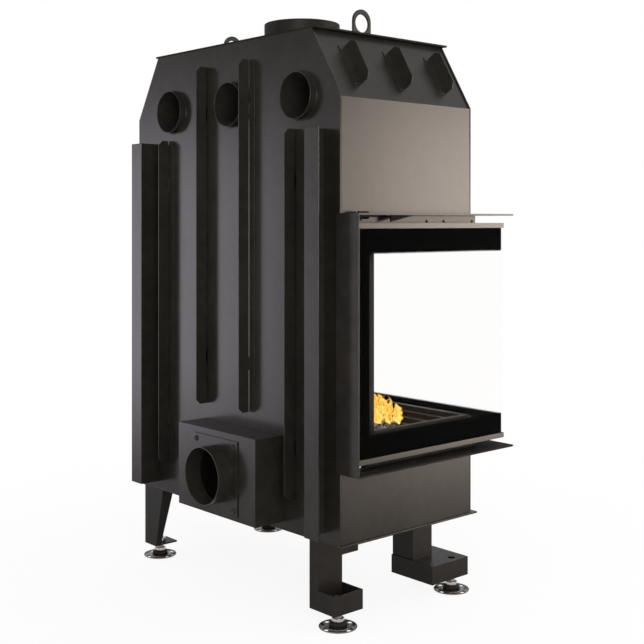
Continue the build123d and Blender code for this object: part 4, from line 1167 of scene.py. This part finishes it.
class FireOperator(bpy.types.Operator):
    """Lay the fire: ash, charred logs, embers and flames."""

    bl_idname = "insert.fire"
    bl_label = "Fire bed"
    ash_wide, ash_deep, ash_high = 0.150, 0.092, 0.020

    def execute(self, context):
        fire = context.scene.insert_fire
        centre = Vector((X_LEFT + fire.across, Y_BACK - fire.deep, HEARTH_TOP))
        self.ash(centre)
        self.logs(centre, fire.glow)
        self.embers(centre, fire)
        self.flames(centre, fire)
        return {"FINISHED"}

    def ash(self, centre):
        """A low lumpy heap with a lobed outline."""
        form, rows, count = Form(), 26, 96
        rings = []
        for row in range(rows + 1):
            share = 1 - row / (rows + 0.6)
            points = []
            for step in range(count):
                angle = TURN * step / count
                reach = 1 + 0.12 * math.sin(3 * angle) + 0.07 * math.sin(5 * angle + 1)
                x = self.ash_wide * share * reach * math.cos(angle)
                y = self.ash_deep * share * reach * math.sin(angle)
                lump = noise.noise(Vector((x * 24, y * 24, 4.0))) * 0.5
                lump += noise.noise(Vector((x * 70, y * 70, 9.0))) * 0.25
                height = self.ash_high * (1 - share ** 2) ** 0.8
                height += 0.007 * lump * (1 - share ** 6)
                points.append(centre + Vector((x, y, max(height, 0.0004 if row else 0.0002))))
            rings.append(points)
        form.skin(rings)
        form.done("ash_bed", "casing", "refractory", hearth_ash("hearth_ash"))

    def logs(self, centre, glow):
        """Four short logs, laid over each other and burnt down at their ends."""
        char = charred_wood("charred_wood", glow)
        # Middle from the fire's centre, then length, radius, turn and tilt
        for index, (x, y, z, length, radius, turn, tilt) in enumerate((
            (-0.006, 0.036, 0.020, 0.225, 0.018, 0.10, 0.01),
            (0.000, -0.038, 0.019, 0.215, 0.017, -0.14, -0.01),
            (0.018, -0.002, 0.031, 0.180, 0.016, 0.42, 0.02),
            (0.046, 0.008, 0.047, 0.120, 0.015, -0.62, -0.03),
        ), start=1):
            along = Vector((math.cos(turn), math.sin(turn), math.sin(tilt)))
            middle = centre + Vector((x, y, z))
            path = line(middle - along * length / 2, middle + along * length / 2, 0.005)
            count = len(path)

            def bark(at, angle, radius=radius, index=index, count=count):
                here = Vector((at * 0.16, math.cos(angle) * 1.4, math.sin(angle) * 1.4 + index * 7))
                rough = 1 + 0.16 * noise.noise(here) + 0.10 * noise.noise(here * 3.1)
                end = min(at, count - 1 - at)
                return radius * rough * min(1.0, 0.72 + 0.10 * end)

            form = Form()
            form.tube(path, bark, 28)
            form.done(f"charred_log_{index}", "casing", "refractory", char)

    def embers(self, centre, fire):
        """Loose lumps, closer together towards the middle of the ash."""
        form, dice = Form(), random.Random(41)
        wide, deep = self.ash_wide - 0.008, self.ash_deep - 0.004
        for _ in range(fire.embers):
            angle, share = dice.uniform(0, TURN), dice.random() ** 0.6
            size = dice.uniform(0.005, 0.012)
            place = centre + Vector((
                wide * share * math.cos(angle), deep * share * math.sin(angle),
                self.ash_high * (1 - share ** 2) + size * 0.55))
            axis = Vector((dice.uniform(-1, 1), dice.uniform(-1, 1), dice.uniform(-0.4, 0.4)))
            axis.normalize()
            first = axis.orthogonal().normalized()
            second = axis.cross(first)
            rings = []
            for height, reach in ((-1.0, 0.45), (-0.55, 0.9), (0.0, 1.05), (0.6, 0.85), (1.0, 0.4)):
                girth = ring(place + axis * height * size, first, second, size * reach * 0.8, 7)
                rings.append([
                    point + Vector([dice.uniform(-0.16, 0.16) * size for _ in range(3)])
                    for point in girth])
            form.skin(rings)
        ember = live_ember("live_ember", fire.glow)
        form.done("loose_embers", "casing", "refractory", ember, smooth=False)

    def flames(self, centre, fire):
        """Flat tongues; each point's mark tells the material its border, height and tongue."""
        gas = flame_gas("flame_gas", fire.flame)
        dice = random.Random(17)
        form, marks, steps, around, flat = Form(), [], 20, 12, 0.22
        for index in range(fire.tongues):
            x = dice.triangular(-0.100, 0.115, -0.07)
            y = dice.triangular(-0.070, 0.065, -0.05)
            peak = 1 - (x / 0.17) ** 2
            height = dice.uniform(0.050, 0.098) * (0.55 + 0.45 * peak)
            width = height * dice.uniform(0.22, 0.42)
            lean, turn = dice.uniform(-0.25, 0.25), dice.uniform(0, math.pi)
            first = Vector((math.cos(turn), math.sin(turn), 0))
            second = Vector((-first.y, first.x, 0))
            foot = centre + Vector((x, y, dice.uniform(0.012, 0.026)))
            rings = []
            for step in range(steps + 1):
                share = step / steps
                swell = math.sin(math.pi * min(1.0, share * 1.02 + 0.06)) ** 0.8
                swell = swell * (1 - share) ** 0.35 + 0.03
                lick = noise.noise(Vector((share * 3.2, index * 5.7, 0.0)))
                bend = first * (lean * share + 0.55 * lick * share) * height
                spot = foot + UP * height * share + bend
                swell *= 0.75 + 0.9 * abs(noise.noise(Vector((share * 5.5, index * 3.1, 8.0))))
                rings.append(ring(spot, first, second * flat, width * swell, around))
                marks += [
                    (abs(math.cos(TURN * k / around)), share, (index % 5) / 4)
                    for k in range(around)]
            form.skin(rings)
        flame = form.done("fire_flames", "casing", "refractory", gas)
        layer = flame.data.attributes.new("tongue", "FLOAT_VECTOR", "POINT")
        layer.data.foreach_set("vector", [number for mark in marks for number in mark])


class InsertPanel(bpy.types.Panel):
    """Lists the steps that dress the insert."""

    bl_label = "Fireplace insert"
    bl_idname = "VIEW3D_PT_fireplace_insert"
    bl_space_type = "VIEW_3D"
    bl_region_type = "UI"
    bl_category = "Insert"

    def draw(self, context):
        for settings in SETTINGS:
            group = getattr(context.scene, settings)
            box = self.layout.box()
            for name in group.__annotations__:
                box.prop(group, name)
        for step in STEPS:
            self.layout.operator(step.bl_idname, text=step.bl_label)


SETTINGS = {
    "insert_paint": InsertPaintSettings,
    "insert_trim": InsertTrimSettings,
    "insert_fire": InsertFireSettings,
    "insert_stage": InsertStageSettings,
}
STEPS = (
    StageOperator, FinishOperator, FinOperator, PostOperator, WeldOperator, PrintOperator,
    RopeOperator, FeetOperator, FastenerOperator, FireOperator,
)


def register():
    for part in (*SETTINGS.values(), *STEPS, InsertPanel):
        bpy.utils.register_class(part)
    for name, group in SETTINGS.items():
        setattr(bpy.types.Scene, name, bpy.props.PointerProperty(type=group))


def unregister():
    for name in SETTINGS:
        delattr(bpy.types.Scene, name)
    for part in (InsertPanel, *reversed(STEPS), *SETTINGS.values()):
        bpy.utils.unregister_class(part)


def main():
    register()
    for step in STEPS:
        group, name = step.bl_idname.split(".")
        getattr(getattr(bpy.ops, group), name)()


if __name__ == "__main__":
    main()
